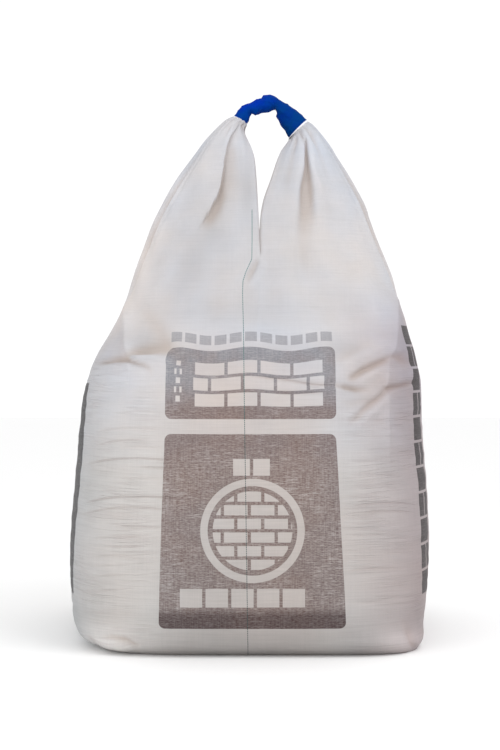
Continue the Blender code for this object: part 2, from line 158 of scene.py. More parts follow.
# Folds on the front, as lines in the photograph's pixels.
# Points: column, row, half width in pixels, height in millimetres (below zero for a valley).
FRONT_FOLDS = {
    "right_arm_pleat": (
        (305.6, 140, 1.2, -7), (306, 152, 1.6, -13), (307, 166, 2.4, -17), (307, 175, 4, -20),
        (306.5, 186, 6, -20), (306.3, 198, 6.8, -17), (306.5, 210, 7.5, -12), (306.5, 224, 9, -5),
        (306, 240, 10, 0)),
    "right_arm_pleat_left_lip": ((300, 140, 3, 3), (299, 165, 4, 4), (295, 190, 5, 3), (293, 220, 7, 0)),
    "right_arm_pleat_right_lip": (
        (311, 145, 2.5, 3), (313, 168, 3, 5), (320, 188, 4.5, 5), (323, 210, 6, 3), (324, 234, 8, 0)),
    "right_arm_band": ((303, 205, 6, 0), (302, 225, 7, -5), (302, 255, 8, -5), (304, 285, 10, 0)),
    "right_arm_inner_roll": ((291, 143, 2.5, 3), (283, 170, 5, 4), (277, 200, 6, 2), (272, 230, 7, 0)),
    "right_arm_inner_valley": ((295.5, 139, 1.5, -5), (292, 152, 3, -5), (287, 176, 5, -3), (283, 205, 6, 0)),
    "right_arm_outer_valley": (
        (310.5, 131, 1.6, -4), (316, 144, 2.6, -3), (323, 162, 4, -2), (330, 185, 6, 0)),
    "right_arm_outer_roll": ((315, 134, 2, 2), (326, 156, 4, 2.5), (338, 184, 7, 2), (347, 215, 9, 0)),
    "right_end_dimple": ((299.5, 129.8, 1.6, -3), (302, 137, 2, -4), (303, 146, 2.4, 0)),
    "left_arm_knuckle": ((243, 125, 2, -4), (246.5, 134, 2.5, -4), (249, 146, 3, 0)),
    "left_arm_inner_roll": ((240, 128, 2, 4), (242, 148, 4, 5), (244, 178, 6, 4), (243, 215, 8, 0)),
    "left_arm_inner_valley": ((233, 150, 3, -3), (231, 170, 4, -3), (229, 192, 5, 0)),
    "left_arm_outer_valley": ((229.5, 126, 1.6, -3), (220, 140, 2.6, -2.5), (208, 162, 4, 0)),
    "left_arm_pocket": (
        (221.5, 186, 4, 0), (219, 196, 6, -7), (214, 207, 8, -9), (208, 217, 8, -7), (203, 227, 8, 0)),
    "left_arm_middle_roll": ((224, 128, 2, 2), (213, 146, 4, 2.5), (201, 170, 6, 2), (188, 200, 8, 0)),
    "slit_pucker_valley": (
        (258, 256, 2, 0), (256, 263, 2.6, -6), (251, 272, 3, -6), (245, 282, 3.5, -2), (243, 292, 4, 0)),
    "slit_pucker_ridge": ((263, 256, 3, 0), (261.5, 264, 4, 4), (256.5, 275, 4, 4), (250, 289, 5, 0)),
    "slit_pucker_left": ((247, 258, 3, 0), (247, 266, 3, 3), (241, 277, 3.5, 3), (236, 286, 5, 0)),
    "left_gusset_crease": (
        (124.2, 292, 5, 0), (124.4, 306, 5, 6), (124.6, 330, 5, 8), (125, 350, 4, 7), (127, 372, 3, 1),
        (128, 420, 3, 0)),
    "left_pinch": ((120, 358.5, 4, -4), (125.5, 357, 4.6, -10), (131, 359, 4, -6)),
    "left_shoulder_valley": (
        (95, 363.5, 2.4, -4), (104, 361.5, 2.6, -10), (115, 359, 2.6, -12), (125, 358.5, 3, -8)),
    "left_shoulder_roll": ((96, 354, 5, 1), (108, 349, 6, 6), (120, 345, 5, 3), (134, 344, 5, 0)),
    "left_shoulder_strip": (
        (127, 356.5, 2.4, 4), (138, 357.5, 2.8, 11), (152, 358, 3, 12), (163, 359.5, 3.6, 8),
        (171, 362, 4, 0)),
    "left_shoulder_shadow": (
        (126, 352, 3, -6), (136, 350.5, 4.2, -13), (150, 348, 6, -13), (163, 346.5, 7, -8), (172, 345, 7, 0)),
    "left_shoulder_tail": (
        (127, 360.5, 2.2, -5), (136, 362.5, 2.4, -8), (143, 364.5, 2.6, -7), (149, 369, 3, -3),
        (153, 379, 3.5, 0)),
    "left_broad_band": (
        (134, 300, 7, 0), (145, 314, 8, -4), (157, 330, 8, -5), (168, 345, 7, -5), (176, 355, 6, -6),
        (182, 361, 4, -6), (190, 368, 6, 0)),
    "right_gusset_crease": (
        (398, 284, 5, 0), (397.4, 300, 5, 6), (396, 330, 5, 8), (394, 350, 4, 7), (391, 360, 3, 2)),
    "right_gusset_lower": (
        (389, 363, 3, 0), (388.6, 371, 3.4, 6), (387.4, 386, 3, 5), (388, 397, 3.4, 6), (389, 430, 3.6, 5),
        (389, 480, 4, 0)),
    "right_shoulder_dip": ((334, 358, 6, 0), (346, 357, 7, -4), (360, 351, 7, -4), (374, 343, 7, 0)),
    "right_diagonal_ridge": (
        (336, 372, 5, 0), (348, 363, 5, 6), (362, 355, 5, 7), (378, 349, 5, 7), (390, 344, 4, 3)),
    "right_diagonal_valley": (
        (347, 381, 3.4, 0), (353, 376.5, 3.4, -9), (363, 370, 3.4, -13), (377, 363.5, 3.2, -12),
        (387, 359, 3, -10), (393, 356, 3, -3)),
    "right_diagonal_lower": ((356, 384, 5, 0), (368, 377, 5, 5), (380, 371, 5, 5), (386, 368, 4, 0)),
    "right_outer_dip": ((394, 355, 4, -6), (401, 357, 5, -9), (409, 363, 5, -4), (414, 367, 5, 0)),
    "right_horizontal_valley": (
        (337, 385.5, 2.2, -3), (346, 387, 2.6, -12), (356, 389, 2.8, -12), (367, 389.5, 2.2, -3),
        (372, 389.5, 2.2, 0)),
    "right_edge_valley": (
        (389, 387.5, 2.4, -7), (399, 385.5, 2.6, -10), (408, 383.5, 2.6, -9), (418, 381, 3, -3)),
    "right_pinch": ((384, 391, 4, -4), (387, 389, 4.5, -9), (391, 387, 4, -4)),
    "right_lower_valley": (
        (386, 392.5, 2.4, -6), (379, 398, 3, -9), (370, 405, 3.6, -9), (358, 416, 4, -7), (347, 426, 4.5, 0)),
    "right_lower_ridge": ((384, 402, 4, 3), (374, 411, 4, 6), (362, 422, 5, 4), (350, 432, 5, 0)),
    "right_low_fold": ((340, 403, 3.5, 0), (352, 404, 3.5, -3), (366, 401, 3.5, -3), (376, 397, 3, 0)),
    "panel_upper_crease": (
        (258, 378, 1.8, 0), (268, 377, 1.8, -3), (290, 380, 1.8, -3), (312, 384, 2, -3), (336, 385, 2, -3)),
    "panel_lower_crease": ((262, 391, 2, 0), (284, 393, 2.2, -2), (310, 392, 2.2, -2), (336, 396, 2.4, 0)),
    "bottom_left_fold": ((87, 633, 2, 0), (91, 639, 2, -3), (96, 645, 2, -3), (105, 649, 2.4, 0)),
    "bottom_left_tuck": (
        (98, 639, 3, 0), (110, 638, 3, -6), (124, 640.5, 2.6, -9), (133, 645, 2.6, -7), (140, 648, 3, 0)),
    "bottom_left_roll": ((98, 643, 4, 2), (108, 644.5, 4, 8), (122, 647, 3.6, 8), (134, 650, 3, 1)),
    "bottom_right_fold": ((402, 618, 4, 0), (408, 632, 4, -5), (413, 646, 3, -6)),
}
# The power of a fold's cross-section: 1 is a sharp crease, 4 a flat-bottomed pleat, and all others are soft.
SHARP = ("left_gusset_crease", "right_gusset_crease", "right_gusset_lower")
FOLD_POWERS = {"right_arm_pleat": 4, **dict.fromkeys(SHARP, 1)}
SOFT_FOLD = 2
# The wide left pleat, whose outer side laps over its inner side.
# Points: column, row, reach of the raised and of the sunk side in pixels, step in millimetres.
LEFT_PLEAT = (
    (237, 126, 4, 4, 4), (231, 134, 6, 5, 7), (226.5, 145, 9, 7, 10), (224, 158, 12, 8, 12),
    (222, 170, 14, 9, 14), (220.3, 183, 15, 10, 17), (217.5, 193, 16, 11, 17), (210.4, 205, 18, 13, 13),
    (203, 219, 18, 15, 6), (197, 230, 18, 16, 0))
# How much of its step the outer side rises and the inner side falls, and how far it laps from what step on.
PLEAT_RISE = 0.35
PLEAT_FALL = 0.65
LAP = 0.0035
LAP_STEP = 15
# The long fine wrinkles of the belly, left and right of the printed panels and across the upper one.
# Each is a strength and points: column, row.
BELLY_WRINKLES = (
    (0.50, (165, 413), (140, 411), (110, 414)),
    (0.45, (166, 430), (120, 428), (92, 432)),
    (0.60, (152, 440.2), (122, 440), (109, 441.5), (92, 446.5)),
    (0.30, (168, 447), (110, 446.5)),
    (0.90, (178, 460.5), (163, 459.6), (145, 458.5), (128, 458.2), (110, 459.3), (98, 461), (82, 464.8)),
    (0.80, (182, 468), (163, 467.6), (150, 467.3), (132, 466.8)),
    (0.35, (168, 478), (118, 478)),
    (0.35, (134, 489.5), (92, 490.5)),
    (1.10, (180, 498.2), (163, 497.4), (150, 496.8), (134, 497.2), (121, 496.6), (108, 497.8), (96, 499.8),
     (80, 503.6)),
    (0.75, (172, 510.4), (145, 508), (128, 507.4), (110, 508.3), (94, 511), (78, 515)),
    (0.55, (172, 528), (148, 526.8), (134, 526), (110, 526.6)),
    (0.55, (148, 536.4), (122, 537.5), (105, 537.5), (86, 538.8)),
    (0.55, (150, 546.6), (125, 546.5), (100, 546)),
    (0.50, (136, 555.6), (112, 555.2), (90, 556.8)),
    (0.40, (138, 565), (88, 566)),
    (0.50, (132, 575), (108, 575.5), (86, 577.4)),
    (0.35, (144, 588), (110, 590), (86, 592.6)),
    (0.40, (336, 417.6), (386, 417)),
    (0.40, (336, 420.9), (394, 420.4)),
    (0.35, (338, 424.4), (398, 424)),
    (0.30, (338, 428), (390, 427.6)),
    (0.30, (340, 436), (404, 437)),
    (0.40, (360, 450), (392, 449), (420, 451.4)),
    (0.40, (380, 455.6), (404, 453.6), (422, 456)),
    (0.30, (342, 462), (380, 461.5), (414, 463)),
    (0.35, (342, 476), (372, 475), (408, 477)),
    (0.30, (344, 487), (394, 486.4)),
    (0.35, (336, 497), (384, 497)),
    (0.85, (350, 506.2), (374, 503.6), (392, 503), (406, 503.6), (421, 506.2)),
    (0.85, (356, 513.2), (378, 511.6), (395, 511), (418, 513.2)),
    (0.35, (344, 536.6), (380, 535.5), (414, 536.8)),
    (0.30, (374, 553), (418, 552.5)),
    (0.40, (340, 573), (360, 569.4), (376, 568.4), (406, 567.4)),
    (0.30, (350, 603), (396, 602.5)),
    (0.70, (246, 377), (268, 377), (290, 380), (312, 384), (341, 385.2)),
    (0.50, (262, 391), (290, 393), (332, 392)),
)
WRINKLE_STEP = 8.0
WRINKLE_FADE = 18.0
WRINKLE_HALF_WIDTH = 1.9
WRINKLE_DEPTH = 0.0018
# The distance in pixels that stands for no wrinkle near.
NO_WRINKLE = 99.0
# How far the back's folds lie from the front's mirror image, in pixels right and up.
BACK_SHIFT = (9, 6)
# The folded edges between the front and the gusseted sides, with the direction that lies past each one; the
# cloth past an edge gets painted shade.
# Points: column, row, strength.
GUSSET_EDGES = (
    (-1, ((124.2, 292, 0), (124.4, 306, 0.8), (125, 350, 1), (127, 362, 0.6), (128, 376, 0))),
    (1, ((397.5, 270, 0), (396.3, 300, 1), (395.5, 340, 1), (393.7, 351, 1), (390, 361, 0.8), (388, 368, 0.6),
         (388, 388, 0.6), (388.3, 430, 0.5), (389, 490, 0))),
)
# Painted shade and painted light on the front: where the cloth is darkened or, below zero, lightened, in the
# photograph's pixels.
# The rows were worked out from measured differences in brightness between a render and the photograph, taken
# over blocks of 15 pixels, so they were fitted to the photograph and not set by eye.
# Columns: column, row, reach across, reach up and down, share of the light that it takes away.
LIGHT_AND_SHADE_PATCHES = (
    (310, 160, 12, 26, -0.15),
    (247, 190, 8, 28, 0.15),
    (286, 177, 8, 20, 0.10),
    (228, 136, 18, 18, -0.08),
    (206, 165, 12, 22, -0.09),
    (378, 322, 20, 30, -0.06),
    (174, 188, 10, 20, -0.14),
    (158, 222, 9, 22, -0.12),
    (143, 262, 8, 26, -0.11),
    (126, 312, 16, 24, -0.10),
    (215, 232, 16, 18, 0.12),
    (192, 262, 20, 26, 0.09),
    (245, 312, 85, 18, 0.13),
    (147, 342, 24, 13, 0.15),
    (338, 347, 27, 13, 0.12),
    (353, 388, 28, 18, 0.08),
    (102, 645, 44, 20, -0.62),
    (409, 645, 30, 19, -0.62),
)
# The gathers of the arms, as in the solid model: valleys up each arm's side and back.
# Columns: share of the way from the front slit to the back one, depth, heights where it starts and is full.
LEFT_VALLEYS = (
    (0.400, 0.036, 0.86, 1.12),
    (0.500, 0.072, 0.76, 1.05),
    (0.600, 0.052, 0.82, 1.10),
    (0.700, 0.058, 0.80, 1.14),
    (0.800, 0.046, 0.86, 1.10),
    (0.900, 0.034, 0.90, 1.14),
)
RIGHT_VALLEYS = (
    (0.425, 0.040, 0.84, 1.12),
    (0.525, 0.070, 0.76, 1.05),
    (0.625, 0.054, 0.84, 1.14),
    (0.725, 0.048, 0.80, 1.10),
    (0.850, 0.056, 0.84, 1.12),
)
VALLEY_HALF_WIDTH = 0.023
# The rows of LOOP, counted from an arm's root, up to which the valleys are full and at which they end.
VALLEYS_FULL = 2.0
VALLEYS_END = 5.5
# How far the valleys wander sideways as they climb, and the lesser gathers between them.
VALLEY_WANDER = 0.006
SMALL_GATHERS_PER_HALF = 22
SMALL_GATHER_DEPTH = 0.007
# Other relief of the cloth, in metres: beside the sleeve, along the slits, and on the belly and shoulders.
CRIMP_DEPTH = 0.0030
LIP_DEPTH = 0.005
LIP_WIDTH = 0.004
RIPPLE_HEIGHT = 0.0017
FINE_RIPPLE_HEIGHT = 0.0007
CREASE_DEPTH = 0.0018
LUMP_HEIGHT = 0.0035
FLATTENING = 0.0012
DRAPE_HEIGHT = 0.0028
# The marker yarn, from the lower end of the slit to the base: column and row.
MARKER_YARN = np.array((
    (251.5, 207), (251.6, 240), (251.3, 259), (248.5, 265), (245, 273), (242.4, 281), (242, 292), (243, 330),
    (244, 420), (245, 480), (246.5, 590), (247.5, 655)))
BACK_YARN_ACROSS = 0.002

# The printed areas, in the photograph's pixels: left, right, top, bottom.
LOWER_PANEL = (160.5, 341.0, 434.2, 628.0)
UPPER_PANEL = (162.8, 337.0, 348.5, 419.2)
# How much the lower panel widens on each side, and how far it leans to the right, per metre down.
LOWER_PANEL_SPREAD = 0.0362
LOWER_PANEL_LEAN = 0.0122
PANEL_CORNER = 0.016
PRINT_WAVE_HEIGHT = 0.0065
PRINT_WAVE_LENGTH = 0.193
PRINT_WAVE_PLACE = -0.097
# Light bricks on the panels, and the row of dark ones above them, in the photograph's pixels.
# Columns: left, right, top, bottom, courses, bricks in a course.
PANEL_BRICKS = ((192, 325, 360, 408, 3, 4), (172, 180, 360, 404, 5, 1), (231, 271, 457, 477, 1, 2),
                (178, 306, 586, 608, 1, 5))
LINE_BRICKS = (165, 336, 331.5, 344, 1, 11)
JOINT = 0.0075
BRICK_CORNER = 0.004
PRINT_EDGE = 0.0008
# The light ring on the lower panel, with its middle as column and row, and the disc of bricks in it, with a
# brick's length and height and how far left of and below the middle they start.
RING_MIDDLE = (252, 530)
RING_RADIUS = 0.119
RING_HALF_WIDTH = 0.0095
DISC_RADIUS = 0.098
DISC_BRICK = (0.066, 0.0335)
DISC_BRICKS_START = (0.14, 0.1)
# Rows at which the ink changes: browner below the first, denser in the foot below the second, and the lower
# panel's top and the end of its denser head.
BROWN_ROW = 380
FOOT_ROW = 607
LOWER_PANEL_ROW = 428
HEAD_ROW = 466
# The dark strips up both sides: rows of their top and foot, the left one's top, and the rows above which they
# lean inwards and outwards, with how much they do so per metre up.
STRIP_TOP_ROW = 322
STRIP_FOOT_ROW = 603
LEFT_STRIP_TOP_ROW = 384
STRIP_IN_ROW = 370
STRIP_OUT_ROW = 440
STRIP_IN = 0.5
STRIP_OUT = 0.10
STRIP_SHIFT = 0.0175
STRIP_ACROSS = 0.5525
STRIP_HALF_WIDTH = 0.045
STRIP_BRICKS = 11
STRIP_JOINT = 0.006

# The weave's pitch on the bag and on the sleeve.
BAG_PITCH = 0.0026
SLEEVE_PITCH = 0.0022
YARN_HALF_WIDTH = 0.0011
YARN_STITCH = 0.0052


def project(points):
    """The photograph's column and row of each point."""
    scale = PIXELS_PER_METRE * CAMERA_DISTANCE / (CAMERA_DISTANCE + points[:, 1])
    return MIDDLE_COLUMN + points[:, 0] * scale, HORIZON_ROW + (CAMERA_HEIGHT - points[:, 2]) * scale


def smooth_step(value, low, high):
    """0 up to low and 1 from high on, with a smooth rise between them."""
    share = np.clip((value - low) / (high - low), 0, 1)
    return share * share * (3 - 2 * share)


def bell(distance, width, power=2):
    """1 at no distance, fading out past the width."""
    return np.exp(-(distance / width) ** power)


def smooth_rows(table, key, values):
    """The table's columns at the given values of a key that rises down the table, on a smooth curve."""
    slope = np.gradient(table, key, axis=0)
    index = np.clip(np.searchsorted(key, values, side="right") - 1, 0, len(key) - 2)
    span = (key[index + 1] - key[index])[:, None]
    t = (values - key[index])[:, None] / span
    start, end = table[index], table[index + 1]
    first, last = slope[index] * span, slope[index + 1] * span
    return ((2 * t**3 - 3 * t**2 + 1) * start + (t**3 - 2 * t**2 + t) * first
            + (3 * t**2 - 2 * t**3) * end + (t**3 - t**2) * last)


def running_total(steps):
    return np.concatenate([[0], np.cumsum(steps)])


def travelled(*ways):
    """How far each place is along a path, from its coordinates."""
    return running_total(np.sqrt(sum(np.diff(way) ** 2 for way in ways)))


def row_steps(points, grid):
    """The mean distance from each row of a grid to the next."""
    return np.linalg.norm(np.diff(points[grid], axis=0), axis=2).mean(axis=1)


class Noise:
    """Smooth seeded noise in three dimensions, about -1 to 1."""

    def __init__(self, seed):
        source = np.random.default_rng(seed)
        self.order = source.permutation(256)
        slopes = source.normal(size=(256, 3))
        self.slopes = slopes / np.linalg.norm(slopes, axis=1)[:, None]

    def __call__(self, points):
        cell = np.floor(points).astype(int)
        inside = points - cell
        blend = inside**3 * (inside * (inside * 6 - 15) + 10)
        total = np.zeros(len(points))
        for corner in itertools.product((0, 1), repeat=3):
            at = (cell + corner) & 255
            pick = self.order[(self.order[(self.order[at[:, 0]] + at[:, 1]) & 255] + at[:, 2]) & 255]
            rise = (self.slopes[pick] * (inside - corner)).sum(axis=1)
            total += rise * np.where(corner, blend, 1 - blend).prod(axis=1)
        return total * 1.7


def column_shares():
    """The columns' places as shares of a half's length, closer together on the front."""
    fine = np.linspace(0, 1, 2001)
    weight = 1 + FRONT_DENSITY * (1 - smooth_step(fine, 0.28, 0.40))
    total = running_total((weight[1:] + weight[:-1]) / 2)
    return np.interp(np.linspace(0, total[-1], HALF_COLUMNS + 1), total, fine)


COLUMN_SHARES = column_shares()


def section(reach, half_depth, wrap, squareness):
    """A rounded section from front to back: its columns' distances outward and along Y, and its length."""
    power = 2 / squareness
    turn = np.radians(wrap) * np.linspace(-1, 1, SECTION_SAMPLES + 1)
    across = reach * np.sign(np.cos(turn)) * np.abs(np.cos(turn)) ** power
    along = half_depth * np.sign(np.sin(turn)) * np.abs(np.sin(turn)) ** power
    length = travelled(across, along)
    wanted = COLUMN_SHARES * length[-1]
    return np.interp(wanted, length, across), np.interp(wanted, length, along), length[-1]


def body_halves(station):
    """The left and the right half of a body row, each from front to back, with their lengths."""
    height, left, right, slit, half_depth, squareness = station
    rounder = min(squareness, LEFT_SQUARENESS)
    halves = []
    for side, reach, corner in ((-1, slit - left, rounder), (1, right - slit, squareness)):
        out, along, length = section(reach, half_depth, 90, corner)
        halves.append((np.stack([slit + side * out, along, np.full_like(out, height)], axis=1), length))
    return halves


def loop_section(station, inset):
    """One C section of the loop, from its front edge to its back edge, with its length."""
    inner_x, inner_z, outer_x, outer_z, half_depth, wrap, squareness = station
    inner = np.array([inner_x, 0, inner_z])
    outer = np.array([outer_x, 0, outer_z])
    width = np.linalg.norm(outer - inner)
    outward = (outer - inner) / width
    end = math.cos(math.radians(wrap))
    reach = width / (1 - math.copysign(abs(end) ** (2 / squareness), end))
    out, along, length = section(reach - inset, half_depth - inset, wrap, squareness)
    return outer - outward * reach + out[:, None] * outward + along[:, None] * np.array([0, 1, 0]), length


def sleeve_inset(position):
    """How far the cloth is drawn in at a row of the loop: inside the sleeve and close to its ends."""
    from_end = min(position - SLEEVE_FIRST, SLEEVE_LAST - position)
    return (END_INSET * smooth_step(from_end, -0.5, 0.0)
            + (SLEEVE_INSET - END_INSET) * smooth_step(from_end, 0.0, 0.6))


def body_heights():
    """Row heights that lie evenly up the wall."""
    fine = np.linspace(0, BODY[-1, 0], 2000)
    length = travelled(fine, smooth_rows(BODY, BODY[:, 0], fine)[:, 2])
    return np.interp(np.linspace(0, length[-1], BODY_ROWS + 1), length, fine)


def corners(grid, turned):
    """The four corners of each quad of a grid, one row's two and then the next row's two, or turned over."""
    found = np.stack([grid[:-1, :-1], grid[:-1, 1:], grid[1:, 1:], grid[1:, :-1]], axis=-1).reshape(-1, 4)
    return found[:, ::-1] if turned else found


def corner_places(across, up, turned):
    return np.stack([corners(across, turned), corners(up, turned)], axis=-1)


def ring_numbers(count, length):
    """Point numbers of rings, a row for each, with its first number again at its end."""
    numbers = np.arange(count * length).reshape(count, length)
    return np.concatenate([numbers, numbers[:, :1]], axis=1)


def point_normals(points, faces):
    """The mean direction in which the faces round each point look."""
    cross = np.cross(points[faces[:, 2]] - points[faces[:, 0]], points[faces[:, 3]] - points[faces[:, 1]])
    normals = np.zeros_like(points)
    for corner in range(4):
        np.add.at(normals, faces[:, corner], cross)
    return normals / np.maximum(np.linalg.norm(normals, axis=1), 1e-12)[:, None]


class Cloth:
    """The bag's cloth as grids: the left and the right half, which share their front and back columns and the
    crown, and later the two halves of the base.

    A half's rows run from the floor up the wall and along the arm to the crown, and its columns from front to
    back. Each grid holds its points' numbers, the cloth's own coordinates in metres, across from the front
    seam and up from the floor, and whether its faces are turned over."""

    def __init__(self):
        self.parts = []
        self.count = 0
        self.left = SimpleNamespace(number=[], across=[], turned=True)
        self.right = SimpleNamespace(number=[], across=[], turned=False)
        self.grids = [self.left, self.right]
        self.heights = body_heights()
        for station in smooth_rows(BODY, BODY[:, 0], self.heights):
            (left_points, left_length), (right_points, right_length) = body_halves(station)
            left_row = self.number(left_points)
            right_row = np.concatenate([left_row[:1], self.number(right_points[1:-1]), left_row[-1:]])
            self.add_row(self.left, left_row, station[3], -left_length)
            self.add_row(self.right, right_row, station[3], right_length)
        positions = np.linspace(0, len(LOOP) - 1, LOOP_ROWS + 1)[1:-1]
        loop_rows = []
        for position, station in zip(positions, smooth_rows(LOOP, np.arange(len(LOOP)), positions)):
            row, length = loop_section(station, sleeve_inset(position))
            loop_rows.append((self.number(row), length))
        crown = LOOP_ROWS // 2
        for row, length in loop_rows[:crown]:
            self.add_row(self.left, row, LOOP[0, 0], -length)
        for row, length in loop_rows[crown - 1:][::-1]:
            self.add_row(self.right, row, LOOP[0, 0], length)
        self.points = np.concatenate(self.parts)
        self.positions = np.zeros(self.count)
        for position, (row, _) in zip(positions, loop_rows):
            self.positions[row] = position
        self.measure()
        self.share = np.zeros(self.count)
        self.on_left = np.zeros(self.count, bool)
        for half in (self.right, self.left):
            self.share[half.number] = COLUMN_SHARES
            self.on_left[half.number] = half is self.left

    def number(self, row):
        """Adds a row's points and gives them their numbers."""
        self.parts.append(row)
        self.count += len(row)
        return np.arange(self.count - len(row), self.count)

    def add_row(self, half, row, slit, length):
        half.number.append(row)
        half.across.append(slit + COLUMN_SHARES * length)

    def measure(self):
        """Sets each row's distance up the cloth from the floor, as the mean over its columns.

        The rows of the body count as one ring, so that both halves agree along the front and the back."""
        for half in self.grids:
            half.number, half.across = np.array(half.number), np.array(half.across)
        steps = [row_steps(self.points, half.number) for half in self.grids]
        shared = (steps[0][:BODY_ROWS] + steps[1][:BODY_ROWS]) / 2
        for half, step in zip(self.grids, steps):
            up = running_total(np.concatenate([shared, step[BODY_ROWS:]]))
            half.up = np.repeat(up[:, None], half.number.shape[1], 1)

    def at_row(self, row):
        """The distance up the cloth at which its front face shows a row of the photograph."""
        height = CAMERA_HEIGHT + (HORIZON_ROW - row) / FRONT_PIXELS_PER_METRE
        return float(np.interp(height, self.heights, self.left.up[:len(self.heights), 0]))

    def faces(self):
        return np.concatenate([corners(grid.number, grid.turned) for grid in self.grids])

    def places(self):
        """The cloth's own coordinates at every face corner, in the order of faces()."""
        return np.concatenate([corner_places(grid.across, grid.up, grid.turned) for grid in self.grids])

    def add_base(self):
        """Adds the flat base as two grids, in rows that shrink from the lowest row of the wall to the middle.

        Gives the last ring, which one face closes."""
        first = self.left.number[0]
        ring = np.concatenate([first, self.right.number[0][-2:0:-1]])
        outline = self.points[ring]
        middle = outline.mean(axis=0)
        added = [middle + (outline - middle) * (1 - step / (BASE_ROWS + BASE_MIDDLE))
                 for step in range(1, BASE_ROWS + 1)]
        numbers = np.append(ring, len(self.points) + np.arange(BASE_ROWS * len(ring))).reshape(-1, len(ring))
        self.points = np.concatenate([self.points, *added])
        columns = len(first)
        left = numbers[:, :columns]
        right = np.concatenate([numbers[:, :1], numbers[:, :columns - 2:-1]], axis=1)
        for half, grid in ((self.left, left), (self.right, right)):
            down = running_total(row_steps(self.points, grid))
            self.grids.append(SimpleNamespace(
                number=grid, across=np.repeat(half.across[:1], len(grid), 0),
                up=np.repeat(-down[:, None], columns, 1), turned=not half.turned))
        return numbers[-1]


def line_distances(column, row, line):
    """Each pixel place's distance to a drawn line, the side it lies on, and the line's other values there."""
    line = np.asarray(line, float)
    best = np.full(len(column), np.inf)
    side = np.zeros(len(column))
    values = np.zeros((len(column), line.shape[1] - 2))
    for start, end in zip(line, line[1:]):
        step = end[:2] - start[:2]
        away_x, away_y = column - start[0], row - start[1]
        share = np.clip((away_x * step[0] + away_y * step[1]) / (step @ step), 0, 1)
        distance = np.hypot(away_x - share * step[0], away_y - share * step[1])
        nearer = distance < best
        best = np.where(nearer, distance, best)
        side = np.where(nearer, np.sign(step[0] * away_y - step[1] * away_x), side)
        between = start[2:] + share[:, None] * (end[2:] - start[2:])
        values = np.where(nearer[:, None], between, values)
    return best, side, values


def smooth_line(points):
    """A drawn line as short steps along a smooth curve through its points."""
    points = np.array(points, float)
    along = travelled(*points.T)
    return smooth_rows(points, along, np.linspace(0, along[-1], int(along[-1] / WRINKLE_STEP) + 1))


def drawn_folds(column, row):
    """The drawn folds at each pixel place: height and push to the right in metres, the signed distance to the
    nearest wrinkle in pixels, and that wrinkle's strength."""
    height = np.zeros(len(column))
    for name, line in FRONT_FOLDS.items():
        distance, _, values = line_distances(column, row, line)
        half_width, rise = values.T
        height += rise / 1000 * bell(distance, half_width, FOLD_POWERS.get(name, SOFT_FOLD))
    distance, side, values = line_distances(column, row, LEFT_PLEAT)
    raised, sunk, step = values.T
    outer = side > 0
    over, under = bell(distance, raised), bell(distance, sunk)
    height += np.where(outer, PLEAT_RISE * over, -PLEAT_FALL * under) * step / 1000
    push = np.where(outer, over, -under) * LAP * np.minimum(1, step / LAP_STEP)
    gap = np.full(len(column), NO_WRINKLE)
    strength = np.zeros(len(column))
    for most, *line in BELLY_WRINKLES:
        distance, side, _ = line_distances(column, row, smooth_line(line))
        from_start, from_end = column - line[0][0], column - line[-1][0]
        ends = np.minimum(np.abs(from_start), np.abs(from_end))
        fade = most * np.where(from_start * from_end < 0, smooth_step(ends, 0, WRINKLE_FADE), 0)
        above = bell(distance / WRINKLE_HALF_WIDTH - 2.4, 1.6) * 0.45
        height += fade * WRINKLE_DEPTH * (above - bell(distance, WRINKLE_HALF_WIDTH))
        nearer = distance < np.abs(gap)
        gap = np.where(nearer, side * distance, gap)
        strength = np.where(nearer, fade * (1 - smooth_step(distance, 2.2, 3.6)), strength)
    return height, push, gap, strength


def past_creases(column, row):
    """How far each pixel place lies past a gusset's edge: 0 before it, and 1 a pixel or two past it."""
    found = np.zeros(len(column))
    for outward, line in GUSSET_EDGES:
        columns, rows, strengths = np.array(line, float).T
        strength = np.interp(row, rows, strengths, left=0, right=0)
        found += strength * smooth_step((column - np.interp(row, rows, columns)) * outward, -0.8, 1.2)
    return found


def greyness(column, row):
    """The share of light that painted shade takes away at each pixel place, below zero where painted light is
    added.
    """
    return sum(share * bell(column - middle, across) * bell(row - height, upward)
               for middle, height, across, upward, share in LIGHT_AND_SHADE_PATCHES)


def arm_gathers(cloth, waves, lane):
    """The gathers of the arms, which take up more and more cloth towards the sleeve: deep valleys up their
    sides and backs, and small ones between."""
    share = cloth.share
    level = cloth.points[:, 2]
    wander = VALLEY_WANDER * waves(lane)
    climbed = np.minimum(cloth.positions, len(LOOP) - 1 - cloth.positions).clip(0)
    fade = 1 - smooth_step(climbed, VALLEYS_FULL, VALLEYS_END)
    gathers = np.zeros(len(share))
    for valleys, here in ((LEFT_VALLEYS, cloth.on_left), (RIGHT_VALLEYS, ~cloth.on_left)):
        for place, depth, start, full in valleys:
            nearness = bell(share - place - wander, VALLEY_HALF_WIDTH)
            gathers -= here * fade * depth * nearness * smooth_step(level, start, full)
    beside = smooth_step(share, 0.30, 0.40)
    small = np.cos(2 * np.pi * (share * SMALL_GATHERS_PER_HALF + 0.45 * waves(lane * (1, 1.6, 1) + 9)))
    patchy = 0.6 + 0.5 * waves(lane * (1.7, 0.8, 1) + 4.5)
    room = ((1.43 - level) / 0.24).clip(0.12, 1) * smooth_step(level, 0.90, 1.20)
    return gathers + SMALL_GATHER_DEPTH * (small - 0.6) * patchy * beside * room


